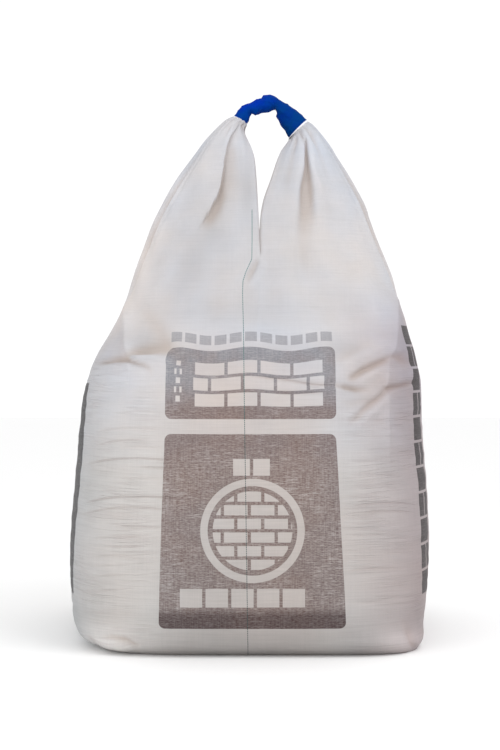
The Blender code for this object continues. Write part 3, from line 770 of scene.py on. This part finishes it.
def belly_relief(points, front):
    """The ripples, fine ripples and creases of the filled body, weaker on the front where they are drawn."""
    level = points[:, 2]
    side = smooth_step(np.abs(points[:, 0] - 0.008), 0.20, 0.34)
    belly = smooth_step(level, 0.03, 0.12) * (1 - smooth_step(level, 0.66, 0.80))
    sway = Noise(3)(points * (2.0, 2.0, 3.0)) * 0.015
    swayed = points + sway[:, None] * (0, 0, 1)
    ripples = Noise(5)(swayed * (4.0, 4.0, 30.0))
    fine = Noise(6)(swayed * (7.0, 7.0, 62.0))
    creases = bell(Noise(7)(swayed * (3.2, 3.2, 17.0)), 0.07)
    patches = smooth_step(Noise(8)(points * 4.0), -0.25, 0.45)
    creased = creases * patches * (1 - 0.7 * front * side)
    strength = belly * (0.30 + 0.70 * side)
    return strength * (RIPPLE_HEIGHT * ripples + FINE_RIPPLE_HEIGHT * fine - CREASE_DEPTH * creased)


def shape_cloth(cloth):
    """Pushes the cloth's points out, in and sideways: drawn folds, gathers of the arms, and wrinkles."""
    points = cloth.points
    share = cloth.share
    position = cloth.positions
    level = points[:, 2]
    normals = point_normals(points, cloth.faces())
    column, row = project(points)
    front = smooth_step(-normals[:, 1], 0.05, 0.35)
    back = smooth_step(normals[:, 1], 0.05, 0.35)
    drawn = drawn_folds(column, row)
    mirrored = drawn_folds(2 * MIDDLE_COLUMN + BACK_SHIFT[0] - column, row + BACK_SHIFT[1])
    cloth.wrinkle_gap = np.where(back > 0, mirrored[2], drawn[2])
    cloth.wrinkle_strength = drawn[3] * front + mirrored[3] * back
    # The share of painted shade on the side faces past the gusset edges.
    cloth.past_crease = past_creases(column, row) * front
    cloth.greyness = greyness(column, row) * smooth_step(-normals[:, 1], -0.3, 0.0)

    waves = Noise(11)
    lane = np.stack([share * 7 + cloth.on_left * 31.7, level * 3.5, np.full(len(points), 0.5)], axis=1)
    gathers = arm_gathers(cloth, waves, lane)
    height = drawn[0] * front + mirrored[0] * back + gathers

    # The cloth is crimped beside the sleeve's ends, and smooth inside it.
    under_sleeve = (smooth_step(position, SLEEVE_FIRST - 1.6, SLEEVE_FIRST - 0.2)
                    * (1 - smooth_step(position, SLEEVE_LAST + 0.2, SLEEVE_LAST + 1.6)))
    bare = 1 - under_sleeve
    beyond_end = np.maximum(SLEEVE_FIRST - position, position - SLEEVE_LAST)
    near_end = smooth_step(beyond_end, -0.4, 0.5) * (1 - smooth_step(beyond_end, 0.8, 2.6)) * (position > 0)
    crimp = np.abs((share * 9 + 0.3 * waves(lane * 2)) % 1 * 2 - 1)
    height -= near_end * CRIMP_DEPTH * bell(crimp, 0.3)

    # The edges of the slits are turned in, which leaves a groove where the two arms touch.
    edge = np.minimum(share, 1 - share) * np.pi * 0.3
    height -= bell(edge, LIP_WIDTH) * smooth_step(position, 0, 0.4) * (position > 0) * bare * LIP_DEPTH

    height += belly_relief(points, front)
    lumps = Noise(9)(points * (3.5, 3.5, 4.0))
    flattened = FLATTENING * (1 - smooth_step(level, 0.88, 0.98))
    height += (LUMP_HEIGHT * lumps - flattened) * smooth_step(level, 0.02, 0.15) * bare
    drape = Noise(10)(np.stack([share * 16 + cloth.on_left * 9.3, level * 2.2, level * 0], axis=1))
    height += DRAPE_HEIGHT * drape * smooth_step(level, 0.74, 0.95) * bare

    moved = points + normals * height[:, None]
    moved[:, 0] += drawn[1] * front - mirrored[1] * back
    moved[:, 2] = np.maximum(moved[:, 2], 0)
    lowest = np.concatenate([cloth.left.number[0], cloth.right.number[0]])
    moved[lowest] = points[lowest]
    cloth.normals = normals
    cloth.height = height
    cloth.bare = points
    cloth.points = moved
    # How deep each point lies in a fold, in millimetres, from which the material paints shade into the folds.
    cloth.depth = np.clip(-1000 * (height - 0.6 * gathers), 0, 20)
    return column, row


def add_object(name, data):
    made = bpy.data.objects.new(name, data)
    bpy.context.scene.collection.objects.link(made)
    return made


def make_mesh(name, points, faces):
    mesh = bpy.data.meshes.new(name)
    mesh.from_pydata([tuple(p) for p in points], [], [tuple(int(k) for k in face) for face in faces])
    mesh.shade_smooth()
    made = add_object(name, mesh)
    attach(made, "root")
    return made


def add_values(made, name, values):
    """Gives every point a number, which the material reads by its name."""
    attribute = made.data.attributes.new(name, "FLOAT", "POINT")
    attribute.data.foreach_set("value", values.astype(np.float32))


def add_places(made, places):
    """Gives every face corner the cloth's own coordinates in metres, which the material reads."""
    layer = made.data.uv_layers.new(name="cloth")
    layer.uv.foreach_set("vector", places.astype(np.float32).ravel())


def make_bag():
    cloth = Cloth()
    column, row = shape_cloth(cloth)
    yarn_column, yarn_row = MARKER_YARN.T
    on_front = cloth.bare[:, 1] < 0
    front_gap = (column - np.interp(row, yarn_row, yarn_column)) / FRONT_PIXELS_PER_METRE
    gap = np.where(on_front, front_gap, cloth.bare[:, 0] - BACK_YARN_ACROSS)
    gap = np.where(on_front & (row < yarn_row[0]), 1, gap)
    last = cloth.add_base()
    bag = make_mesh("bag_cloth", cloth.points, [*cloth.faces(), last])
    add_places(bag, np.concatenate([cloth.places().reshape(-1, 2), np.zeros((len(last), 2))]))
    # What the material reads at each point of the walls and, as one number, on the base.
    measures = {"yarn_gap": (gap, 1), "fold_depth": (cloth.depth, 0), "past_crease": (cloth.past_crease, 0),
                "wrinkle_gap": (cloth.wrinkle_gap, NO_WRINKLE), "greyness": (cloth.greyness, 0),
                "wrinkle_strength": (cloth.wrinkle_strength, 0)}
    for name, (values, under) in measures.items():
        add_values(bag, name, np.append(values, np.full(len(cloth.points) - len(values), under)))
    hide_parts("outer_bag")
    return bag, cloth


def lowest_near(grid, rows, columns):
    """The lowest value near each place of a grid whose rows are closed rings."""
    found = grid.copy()
    for shift in range(1, columns + 1):
        found = np.minimum(found, np.minimum(np.roll(grid, shift, 1), np.roll(grid, -shift, 1)))
    padded = np.pad(found, ((rows, rows), (0, 0)), mode="edge")
    windows = [padded[shift:shift + len(grid)] for shift in range(2 * rows + 1)]
    return np.min(windows, axis=0)


def make_vessel(name, rings, with_top):
    """A mesh through rings of points, with a face across its lowest ring and, if wanted, its highest."""
    numbers = ring_numbers(len(rings), len(rings[0]))
    faces = [*corners(numbers, True), numbers[0, :-1]]
    if with_top:
        faces.append(numbers[-1, :-1][::-1])
    return make_mesh(name, np.concatenate(rings), faces)


def make_liner_and_fill(cloth):
    """The film liner and the grout, which follow the bag's inside just behind its deepest folds."""
    last_row = int(np.searchsorted(cloth.heights, SHOULDER_HEIGHT)) + 1
    rings = np.concatenate([cloth.left.number[:last_row], cloth.right.number[:last_row, -2:0:-1]], axis=1)
    deepest = lowest_near(cloth.height[rings], 6, 9)
    for _ in range(3):
        deepest = (np.roll(deepest, 1, 1) + np.roll(deepest, -1, 1) + 2 * deepest) / 4
    rows = np.unique(np.append(np.arange(0, last_row, 4), last_row - 1))
    coarser = np.ix_(rows, np.arange(0, rings.shape[1], 5))
    pick = rings[coarser]
    middle = np.array([(SHOULDER_LEFT + SHOULDER_RIGHT) / 2, 0, 0])
    around = cloth.bare[pick[-1]] * (1, 1, 0) - middle

    def lined(behind):
        """Rings up the wall and over the heaped top, at a distance behind the cloth's deepest folds."""
        inward = np.minimum(deepest[coarser], 0) - behind
        grid = cloth.bare[pick] + cloth.normals[pick] * inward[:, :, None]
        grid[:, :, 2] = np.maximum(grid[:, :, 2], behind)
        rings = [*grid]
        for height, part in DOME:
            reach = around * part
            reach = reach * (1 - behind / np.linalg.norm(reach, axis=1))[:, None]
            rings.append(middle + (0, 0, height - behind) + reach)
        return rings

    film = lined(LINER_BEHIND)
    turns = np.arctan2(*(film[-1] - middle)[:, 1::-1].T)
    for height, radius in NECK:
        looseness = smooth_step(abs(height - TIE_HEIGHT), 0.0, 0.05)
        wave = 1 + 0.16 * looseness * np.cos(9 * turns + 2 * np.sin(3 * turns)) + 0.05 * np.cos(17 * turns)
        reach = radius * wave
        lift = 0.008 * looseness * np.cos(4 * turns + 1) * (height > 1.0)
        film.append(np.stack([np.cos(turns) * reach, np.sin(turns) * reach, height + lift], axis=1) + middle)
    liner = make_vessel("liner_film", film, False)
    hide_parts("inner_liner")

    fill = make_vessel("grout_heap", lined(FILL_BEHIND), True)
    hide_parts("grout_fill")
    return liner, fill


def make_sleeve():
    """The crumpled sleeve round the loop's crown, open at both ends."""
    line = np.array(SLEEVE_LINE)
    line[:, 0::2] = (line[:, 0::2] - MIDDLE_COLUMN) / PIXELS_PER_METRE
    line[:, 1::2] = CAMERA_HEIGHT + (HORIZON_ROW - line[:, 1::2]) / PIXELS_PER_METRE
    spans = len(line) - 1
    places = np.linspace(0, spans, SLEEVE_STEPS * spans + 1)
    line = np.stack([np.interp(places, np.arange(spans + 1), column) for column in line.T], axis=1)
    half_depth = np.interp(places, (0, spans), SLEEVE_HALF_DEPTHS)
    turns = np.linspace(0, 2 * np.pi, SLEEVE_COLUMNS, endpoint=False)
    middle, half = (line[:, 2:] + line[:, :2]) / 2, (line[:, 2:] - line[:, :2]) / 2
    seen = middle[:, None] + half[:, None] * np.cos(turns)[:, None]
    rows = np.stack([seen[:, :, 0], half_depth[:, None] * np.sin(turns), seen[:, :, 1]], axis=2)
    along = travelled(*rows.mean(axis=1).T)
    points = rows.reshape(-1, 3)
    from_end = np.repeat(np.minimum(along, along[-1] - along), SLEEVE_COLUMNS)
    numbers = ring_numbers(len(rows), SLEEVE_COLUMNS)
    faces = corners(numbers, True)
    crumple = Noise(21)(points * (42, 30, 42))
    crease = np.abs(Noise(22)(points * (26, 18, 26)))
    ridge = (0.25 - np.minimum(crease, 0.25)) / 0.25
    height = smooth_step(from_end, 0.0, 0.018) * (0.0011 * crumple + 0.0022 * ridge - 0.0010)
    height -= (1 - smooth_step(from_end, 0.0, 0.004)) * 0.0006
    sleeve = make_mesh("loop_sleeve_cloth", points + point_normals(points, faces) * height[:, None], faces)
    add_values(sleeve, "from_end", from_end)
    around = np.linspace(0, SLEEVE_GIRTH, SLEEVE_COLUMNS + 1)
    add_places(sleeve, corner_places(*np.meshgrid(around, along), True))
    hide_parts("loop_sleeve")
    return sleeve


def feed(tree, socket, value):
    """Gives a socket a field, a node's output, a colour or a number."""
    if isinstance(value, Field):
        value = value.output
    if isinstance(value, bpy.types.NodeSocket):
        tree.links.new(value, socket)
    elif isinstance(value, tuple):
        socket.default_value = (*value, 1)
    else:
        socket.default_value = value


def add_node(tree, kind, inputs, **settings):
    """A new shader node with its settings, and with its inputs fed by their number or name."""
    node = tree.nodes.new("ShaderNode" + kind)
    for name, value in settings.items():
        setattr(node, name, value)
    for place, value in inputs.items():
        feed(tree, node.inputs[place], value)
    return node


class Field:
    """A number that varies over a surface, held as the output of a shader node."""

    def __init__(self, tree, output):
        self.tree = tree
        self.output = output

    def worked(self, operation, *others):
        inputs = dict(enumerate((self, *others)))
        return Field(self.tree, add_node(self.tree, "Math", inputs, operation=operation).outputs[0])

    __add__ = partialmethod(worked, "ADD")
    __sub__ = partialmethod(worked, "SUBTRACT")
    __mul__ = partialmethod(worked, "MULTIPLY")
    __truediv__ = partialmethod(worked, "DIVIDE")
    __neg__ = partialmethod(worked, "MULTIPLY", -1)
    size = partialmethod(worked, "ABSOLUTE")
    root = partialmethod(worked, "SQRT")
    at_least = partialmethod(worked, "MAXIMUM")
    at_most = partialmethod(worked, "MINIMUM")
    over = partialmethod(worked, "GREATER_THAN")
    whole = partialmethod(worked, "FLOOR")
    rest = partialmethod(worked, "FRACT")

    def held(self):
        """The same number, kept between 0 and 1."""
        return Field(self.tree, add_node(self.tree, "Clamp", {0: self}).outputs[0])

    def inverse(self):
        return -self + 1

    def ramp(self, start, length):
        """0 at the start and 1 a length further on, or further back where the length is below zero."""
        return ((self - start) / length).held()

    def within(self, reach, edge):
        """1 where the number is less than the reach, and 0 past it, with an edge of a width between."""
        return ((-self + reach) / edge).held()


class Surface:
    """A material being made: its nodes, its coordinates and its shader."""

    def __init__(self, name, **values):
        self.material = bpy.data.materials.new(name)
        self.material.use_nodes = True
        self.tree = self.material.node_tree
        self.shader = self.tree.nodes["Principled BSDF"]
        self.give(values)

    def give(self, values):
        """Feeds the shader's inputs by their names."""
        for name, value in values.items():
            feed(self.tree, self.shader.inputs[name], value)

    def value(self, name):
        return Field(self.tree, add_node(self.tree, "Attribute", {}, attribute_name=name).outputs["Fac"])

    def cloth_places(self):
        """The cloth's own coordinates, across and up."""
        places = add_node(self.tree, "Attribute", {}, attribute_name="cloth").outputs["Vector"]
        split = add_node(self.tree, "SeparateXYZ", {0: places})
        return Field(self.tree, split.outputs[0]), Field(self.tree, split.outputs[1])

    def places(self):
        return add_node(self.tree, "TexCoord", {}).outputs["Object"]

    def vector(self, x, y):
        return add_node(self.tree, "CombineXYZ", {0: x, 1: y}).outputs[0]

    def noise(self, place, scale, detail, roughness, low=0.0, high=1.0):
        """Blender's noise at a place, stretched so that low and high become 0 and 1."""
        inputs = {"Vector": place, "Scale": scale, "Detail": detail, "Roughness": roughness}
        found = add_node(self.tree, "TexNoise", inputs).outputs["Fac"]
        return Field(self.tree, found).ramp(low, high - low)

    def mixed(self, share, first, second, blend="MIX"):
        """A mix of two colours by a share, from all the first at 0 to all the second at 1."""
        inputs = {0: share, 6: first, 7: second}
        return add_node(self.tree, "Mix", inputs, data_type="RGBA", blend_type=blend).outputs[2]

    def tinted(self, colour, tint, share=1):
        """A colour multiplied by a tint or by a field, all over or by a share."""
        return self.mixed(share, colour, tint, "MULTIPLY")

    def bump(self, height, distance, strength, **below):
        """The normal that a height gives, on top of the Normal of a bump below it."""
        inputs = {"Height": height, "Distance": distance, "Strength": strength, **below}
        return add_node(self.tree, "Bump", inputs).outputs["Normal"]

    def let_light_through(self, colour, share, normal):
        """Lets part of the light through, as thin cloth and film do."""
        back = add_node(self.tree, "BsdfTranslucent", {"Color": colour, "Normal": normal})
        mix = add_node(self.tree, "MixShader", {0: share, 1: self.shader.outputs[0], 2: back.outputs[0]})
        feed(self.tree, self.tree.nodes["Material Output"].inputs["Surface"], mix.outputs[0])


def weave(across, up, pitch):
    """Flat tapes over and under each other: their height, how close a gap is, and which ones lie on top."""
    over, under = across / pitch, up / pitch
    warp = over.rest() * 2 - 1
    weft = under.rest() * 2 - 1
    odd = ((over.whole() + under.whole()) / 2).rest().over(0.25)
    warp_top = (warp * warp).inverse() * ((weft * weft) * -0.5 + 1)
    weft_top = (weft * weft).inverse() * ((warp * warp) * -0.5 + 1)
    height = odd * warp_top + odd.inverse() * weft_top
    return height, (warp.size() * weft.size()).ramp(0.55, 0.3), odd


def box_mask(across, up, middle, half, corner, softness=0.0006):
    """1 inside a rounded box and 0 outside it. Middle and half sizes are numbers or fields."""
    out_x = (across - middle[0]).size() - half[0] + corner
    out_y = (up - middle[1]).size() - half[1] + corner
    past_x, past_y = out_x.at_least(0), out_y.at_least(0)
    distance = (past_x * past_x + past_y * past_y).root() + out_x.at_least(out_y).at_most(0) - corner
    return (-distance / softness + 0.5).held()


def bricks(across, up, start, length, height, joint):
    """A running bond of light bricks with dark joints."""
    course = (up - start[1]) / height
    shift = (course.whole() / 2).rest().over(0.25) * 0.5
    along = ((across - start[0]) / length + shift).rest()
    in_x = ((along - 0.5).size() * -length + length / 2 - joint / 2) / PRINT_EDGE
    in_y = ((course.rest() - 0.5).size() * -height + height / 2 - joint / 2) / PRINT_EDGE
    return in_x.at_most(in_y).held()


def photo_across(column):
    """The distance across the front face at a column of the photograph."""
    return (column - MIDDLE_COLUMN) / FRONT_PIXELS_PER_METRE


def bag_material(cloth):
    surface = Surface("woven_cloth")
    across, up = surface.cloth_places()
    aside = across.size()
    places = surface.places()
    tapes, gaps, odd = weave(across, up, BAG_PITCH)

    def grain(across_scale, up_scale, *look):
        """Noise with one scale across the cloth and one up it."""
        return surface.noise(surface.vector(across * across_scale, up * up_scale), 1, *look)

    streaks = grain(9, 420, 2, 0.5, 0.30, 0.70)
    columns = grain(420, 9, 2, 0.5, 0.30, 0.70)
    thick = grain(3, 110, 3, 0.6, 0.30, 0.70)
    warmth = surface.noise(places, 3.2, 3, 0.5, 0.34, 0.68)
    stain = surface.noise(places, 9.0, 4, 0.6, 0.45, 0.75)

    low = up.ramp(0.72, -0.25)
    upper_cloth = surface.mixed(warmth, (0.61, 0.635, 0.695), (0.70, 0.655, 0.635))
    lower_cloth = surface.mixed(warmth, (0.635, 0.625, 0.615), (0.665, 0.63, 0.61))
    plain = surface.mixed(low, upper_cloth, lower_cloth)
    # Painted warm shade in the folds, stronger where a fold is deeper.
    deep = surface.value("fold_depth").ramp(0, 12)
    plain = surface.mixed(deep * 0.6, plain, (0.56, 0.46, 0.39))
    plain = surface.tinted(plain, stain * -0.06 + 1)
    # Painted shade on the arms beside the slits.
    plain = surface.tinted(plain, (0.90, 0.915, 0.93), aside.ramp(0.34, -0.20) * up.ramp(0.90, 0.12))
    # Painted shade on the side faces past the gusset edges.
    plain = surface.tinted(plain, (0.88, 0.86, 0.86), surface.value("past_crease"))

    # Fine wrinkles that lie along the weft and come in patches, and the larger ones: painted shade along
    # their lines, and bumps.
    bent = grain(2.4, 2.4, 1, 0.5)
    rippled = surface.noise(surface.vector(across * 3.4, up * 72 + bent * 2.5), 1, 2, 0.5)
    thin_lines = ((rippled - 0.5).size() / -0.065 + 1).held()
    beside_panels = aside.ramp(0.21, 0.05) * up.ramp(0.80, -0.06)
    thin_lines = thin_lines * grain(5, 9, 1, 0.5, 0.40, 0.58) * beside_panels
    wrinkles = surface.value("wrinkle_gap").size().ramp(1.2, -0.8) * surface.value("wrinkle_strength")
    lined = (thin_lines * 0.55 + wrinkles).held()

    # The printed panels, with a wavy upper edge, light brick marks and worn ink.
    top, bottom = cloth.at_row(UPPER_PANEL[2]), cloth.at_row(UPPER_PANEL[3])
    wave = ((across - PRINT_WAVE_PLACE) * (2 * math.pi / PRINT_WAVE_LENGTH)).worked("COSINE")
    lifted = up + wave * up.ramp(bottom, top - bottom) * PRINT_WAVE_HEIGHT

    def panel(box, spread, lean):
        """A panel that widens and leans on its way down."""
        left, right = photo_across(box[0]), photo_across(box[1])
        top, bottom = cloth.at_row(box[2]), cloth.at_row(box[3])
        down = -(up - (top + bottom) / 2)
        middle = (down * lean + (left + right) / 2, (top + bottom) / 2)
        half = (down * spread + (right - left) / 2, (top - bottom) / 2)
        return box_mask(across, lifted, middle, half, PANEL_CORNER)

    def wall(left, right, top, bottom, courses, count):
        """A block of brickwork between two columns and two rows of the photograph."""
        x0, x1 = photo_across(left), photo_across(right)
        y0, y1 = cloth.at_row(bottom), cloth.at_row(top)
        middle, half = ((x0 + x1) / 2, (y0 + y1) / 2), ((x1 - x0) / 2, (y1 - y0) / 2)
        block = box_mask(across, lifted, middle, half, BRICK_CORNER)
        return block * bricks(across, lifted, (x0, y0), (x1 - x0) / count, (y1 - y0) / courses, JOINT)

    panels = panel(LOWER_PANEL, LOWER_PANEL_SPREAD, LOWER_PANEL_LEAN).at_least(panel(UPPER_PANEL, 0.0, 0.0))
    centre = (photo_across(RING_MIDDLE[0]), cloth.at_row(RING_MIDDLE[1]))
    away_x, away_y = across - centre[0], up - centre[1]
    away = (away_x * away_x + away_y * away_y).root()
    start = (centre[0] - DISC_BRICKS_START[0], centre[1] - DISC_BRICKS_START[1])
    disc = away.within(DISC_RADIUS, PRINT_EDGE) * bricks(across, up, start, *DISC_BRICK, JOINT)
    marks = disc.at_least((away - RING_RADIUS).size().within(RING_HALF_WIDTH, PRINT_EDGE))
    for block in PANEL_BRICKS:
        marks = marks.at_least(wall(*block))
    printed = panels * marks.inverse()

    redness = surface.noise(places, 7.0, 3, 0.6, 0.42, 0.62)
    rubbed = grain(7, 13, 2, 0.6, 0.40, 0.65)
    scratches = grain(26, 330, 3, 0.7, 0.50, 0.62)
    threads = grain(110, 520, 2, 0.6, 0.38, 0.62)
    upright = grain(420, 16, 1, 0.5, 0.40, 0.66)
    ink = surface.mixed(up.ramp(cloth.at_row(BROWN_ROW), -0.08), (0.250, 0.258, 0.290), (0.180, 0.126, 0.120))
    ink = surface.mixed(redness * 0.45, ink, (0.22, 0.130, 0.10))
    foot = up.ramp(cloth.at_row(FOOT_ROW), -0.02)
    ink = surface.tinted(ink, (0.40, 0.29, 0.31), foot)
    worn = scratches * (rubbed * 0.26 + 0.10) + threads * 0.26 + upright * 0.10 + gaps * 0.10
    lower_panel = up.ramp(cloth.at_row(LOWER_PANEL_ROW), -0.01)
    panel_head = up.ramp(cloth.at_row(HEAD_ROW), 0.05) * lower_panel
    worn = worn * (lower_panel * 0.40 + panel_head * -0.34 + foot * -0.66 + 0.90)
    ink = surface.mixed(worn.held(), ink, plain)
    coloured = surface.mixed(printed, plain, ink)
    faint_ink = surface.mixed((worn * 0.6 + 0.22).held(), (0.30, 0.30, 0.33), plain)
    coloured = surface.mixed(wall(*LINE_BRICKS), coloured, faint_ink)

    # The dark blocks up both sides.
    inwards = ((up - cloth.at_row(STRIP_IN_ROW)) * STRIP_IN).at_least(0)
    outwards = ((up - cloth.at_row(STRIP_OUT_ROW)) * STRIP_OUT).at_least(0)
    strip_place = (across + STRIP_SHIFT).size() + inwards - outwards
    foot_up, top_up = cloth.at_row(STRIP_FOOT_ROW), cloth.at_row(STRIP_TOP_ROW)
    middle, half = (STRIP_ACROSS, (foot_up + top_up) / 2), (STRIP_HALF_WIDTH, (top_up - foot_up) / 2)
    on_right = across.over(0)
    strip = box_mask(strip_place, up, middle, half, STRIP_JOINT)
    strip = strip * on_right.at_least(up.ramp(cloth.at_row(LEFT_STRIP_TOP_ROW), -0.004))
    strip_bricks = bricks(strip_place, up, (STRIP_ACROSS - STRIP_HALF_WIDTH, foot_up), 2 * STRIP_HALF_WIDTH,
                          (top_up - foot_up) / STRIP_BRICKS, STRIP_JOINT)
    dark = surface.mixed((worn * 0.40).held(), (0.06, 0.053, 0.053), plain)
    coloured = surface.mixed(strip * strip_bricks.at_least(on_right.inverse()), coloured, dark)

    # Woven streaks, the marker yarn, and painted shade that darkens the cloth towards the floor.
    woven = streaks * 0.10 + columns * 0.05 + thick * 0.05 + gaps * 0.12
    coloured = surface.tinted(coloured, woven * (low * -0.35 - 0.6) + 1.11)
    dashes = (up / YARN_STITCH).rest().over(0.22)
    yarn = surface.value("yarn_gap").size().within(YARN_HALF_WIDTH, 0.0003) * dashes
    yarn_colour = surface.mixed(low, (0.02, 0.17, 0.165), (0.02, 0.075, 0.075))
    coloured = surface.mixed(yarn * 0.85, coloured, yarn_colour)
    # Painted shade, darker towards the floor.
    coloured = surface.tinted(coloured, up.ramp(0.62, -0.60) * -0.12 + up.ramp(0.15, -0.10) * -0.17 + 1)
    # Painted shade along the wrinkles' lines.
    coloured = surface.tinted(coloured, (0.90, 0.87, 0.87), lined)
    coloured = surface.tinted(coloured, (0.91, 0.88, 0.87), aside.ramp(0.25, -0.11) * up.ramp(0.86, -0.08))
    # Painted shade on both flanks, purplish on the right and bluish on the left.
    sideways = aside.ramp(1.15, -0.25)
    right_flank_shade = across.ramp(0.19, 0.27) * up.ramp(1.0, -0.16) * sideways
    left_flank_shade = across.ramp(-0.33, -0.20) * up.ramp(0.86, -0.16) * sideways
    coloured = surface.tinted(coloured, (0.74, 0.67, 0.70), right_flank_shade)
    coloured = surface.tinted(coloured, (0.83, 0.87, 0.91), left_flank_shade)
    # Painted shade and painted light in patches on the front.
    coloured = surface.tinted(coloured, surface.value("greyness").inverse())

    normal = surface.bump(lined.inverse(), 0.0018, 0.8)
    normal = surface.bump(thick * 0.6 + streaks * 0.4, 0.0006, 0.7, Normal=normal)
    normal = surface.bump(grain(30, 60, 3, 0.6), 0.0012, 0.35, Normal=normal)
    normal = surface.bump(tapes, 0.00035, 0.8, Normal=normal)
    surface.give({"Base Color": coloured, "Normal": normal, "Roughness": odd * 0.08 + streaks * 0.10 + 0.42,
                  "Specular IOR Level": 0.35})
    surface.let_light_through(surface.tinted(coloured, (0.95, 0.80, 0.68)), 0.22, normal)
    return surface.material


def sleeve_material():
    surface = Surface("sleeve_cloth", Roughness=0.75)
    around, along = surface.cloth_places()
    tapes, gaps, _ = weave(around, along, SLEEVE_PITCH)
    patches = surface.noise(surface.places(), 22, 2, 0.5, 0.35, 0.65)
    blue = surface.mixed(patches, (0.0003, 0.043, 0.27), (0.0003, 0.028, 0.34))
    blue = surface.tinted(blue, (1.0, 0.93, 0.72), along.ramp(0.10, 0.03))
    blue = surface.tinted(blue, gaps * -0.3 + 1)
    from_end = surface.value("from_end")
    seam = (from_end - HEM_WIDTH - 0.0040).size().within(0.0010, 0.0005)
    blue = surface.mixed(seam * 0.5, blue, (0.001, 0.012, 0.10))
    coloured = surface.mixed(from_end.within(HEM_WIDTH, 0.0008), blue, (0.80, 0.80, 0.83))
    creased = (surface.noise(surface.places(), 38, 2, 0.5) - 0.5).size()
    normal = surface.bump(creased, 0.008, 0.8)
    normal = surface.bump(tapes, 0.0004, 0.8, Normal=normal)
    surface.give({"Base Color": coloured, "Normal": normal, "Specular IOR Level": 0.02})
    return surface.material


def speckled_material(name, roughness, look, colours, bump, share_through=0):
    """A material whose colour and relief follow one noise, and which may let a share of the light through."""
    surface = Surface(name, Roughness=roughness)
    speckles = surface.noise(surface.places(), *look)
    colour = surface.mixed(speckles, *colours)
    normal = surface.bump(speckles, *bump)
    surface.give({"Base Color": colour, "Normal": normal})
    if share_through:
        surface.let_light_through(colour, share_through, normal)
    return surface.material


def grout_material():
    surface = Surface("dry_grout", Roughness=0.95)
    grains = surface.noise(surface.places(), 900, 2, 0.6, 0.35, 0.65)
    lumps = surface.noise(surface.places(), 30, 4, 0.6)
    colour = surface.mixed(grains, (0.30, 0.295, 0.28), (0.44, 0.43, 0.41))
    normal = surface.bump(grains, 0.0004, 0.8, Normal=surface.bump(lumps, 0.004, 0.5))
    surface.give({"Base Color": colour, "Normal": normal})
    return surface.material


def make_camera():
    data = bpy.data.cameras.new("camera")
    data.sensor_fit = "VERTICAL"
    data.sensor_height = SENSOR_HEIGHT
    data.lens = PIXELS_PER_METRE * CAMERA_DISTANCE * SENSOR_HEIGHT / PHOTO_HEIGHT
    data.shift_y = (HORIZON_ROW - PHOTO_HEIGHT / 2) / PHOTO_HEIGHT
    camera = add_object("camera", data)
    camera.location = (0, -CAMERA_DISTANCE, CAMERA_HEIGHT)
    camera.rotation_euler = (math.radians(90), 0, 0)
    bpy.context.scene.camera = camera


def make_light(name, place, aim, size, power, colour):
    data = bpy.data.lights.new(name, "AREA")
    data.shape = "RECTANGLE"
    data.size, data.size_y = size
    data.energy = power
    data.color = colour
    light = add_object(name, data)
    light.location = place
    light.rotation_euler = (Vector(aim) - Vector(place)).to_track_quat("-Z", "Y").to_euler()


def make_world():
    """A bright white surround, darker low down at both sides and most on the right."""
    world = bpy.data.worlds.new("studio")
    world.use_nodes = True
    tree = world.node_tree
    split = add_node(tree, "SeparateXYZ", {0: add_node(tree, "TexCoord", {}).outputs["Generated"]})
    aside, upward = Field(tree, split.outputs[0]), Field(tree, split.outputs[2])
    darker = aside.ramp(0.40, 0.30) * 0.70 + aside.ramp(-0.40, -0.30) * 0.45
    background = tree.nodes["Background"]
    feed(tree, background.inputs["Color"], (1, 1, 1))
    feed(tree, background.inputs["Strength"], upward.ramp(0.35, -0.25) * darker * -1 + 1.05)
    bpy.context.scene.world = world


def make_studio():
    bpy.context.scene.view_settings.view_transform = "Standard"
    make_world()
    make_light("top", (2.0, -1.9, 3.5), (0.1, 0, 0.9), (2.2, 2.2), 44, (0.98, 0.99, 1))
    make_light("left", (-2.6, -3.4, 0.9), (-0.1, 0, 0.45), (2.0, 1.6), 33, (1, 0.985, 0.97))
    mesh = bpy.data.meshes.new("floor")
    mesh.from_pydata([(-15, -15, 0), (15, -15, 0), (15, 15, 0), (-15, 15, 0)], [], [(0, 1, 2, 3)])
    paper = Surface("studio_paper", Roughness=0.9)
    paper.give({"Base Color": (0.95, 0.95, 0.95)})
    mesh.materials.append(paper.material)
    floor = add_object("floor", mesh)


make_camera()
bag, cloth = make_bag()
bag.data.materials.append(bag_material(cloth))
sleeve = make_sleeve()
sleeve.data.materials.append(sleeve_material())
liner, fill = make_liner_and_fill(cloth)
liner.data.materials.append(speckled_material(
    "liner_film", 0.35, (45, 4, 0.6), ((0.78, 0.80, 0.82), (0.84, 0.85, 0.86)), (0.003, 0.6), 0.4))
fill.data.materials.append(grout_material())
tie = bpy.data.objects["neck_tie"]
tie.material_slots[0].material = speckled_material(
    "tie_nylon", 0.4, (300, 2, 0.5), ((0.76, 0.76, 0.72), (0.84, 0.84, 0.81)), (0.0002, 0.5))
make_studio()
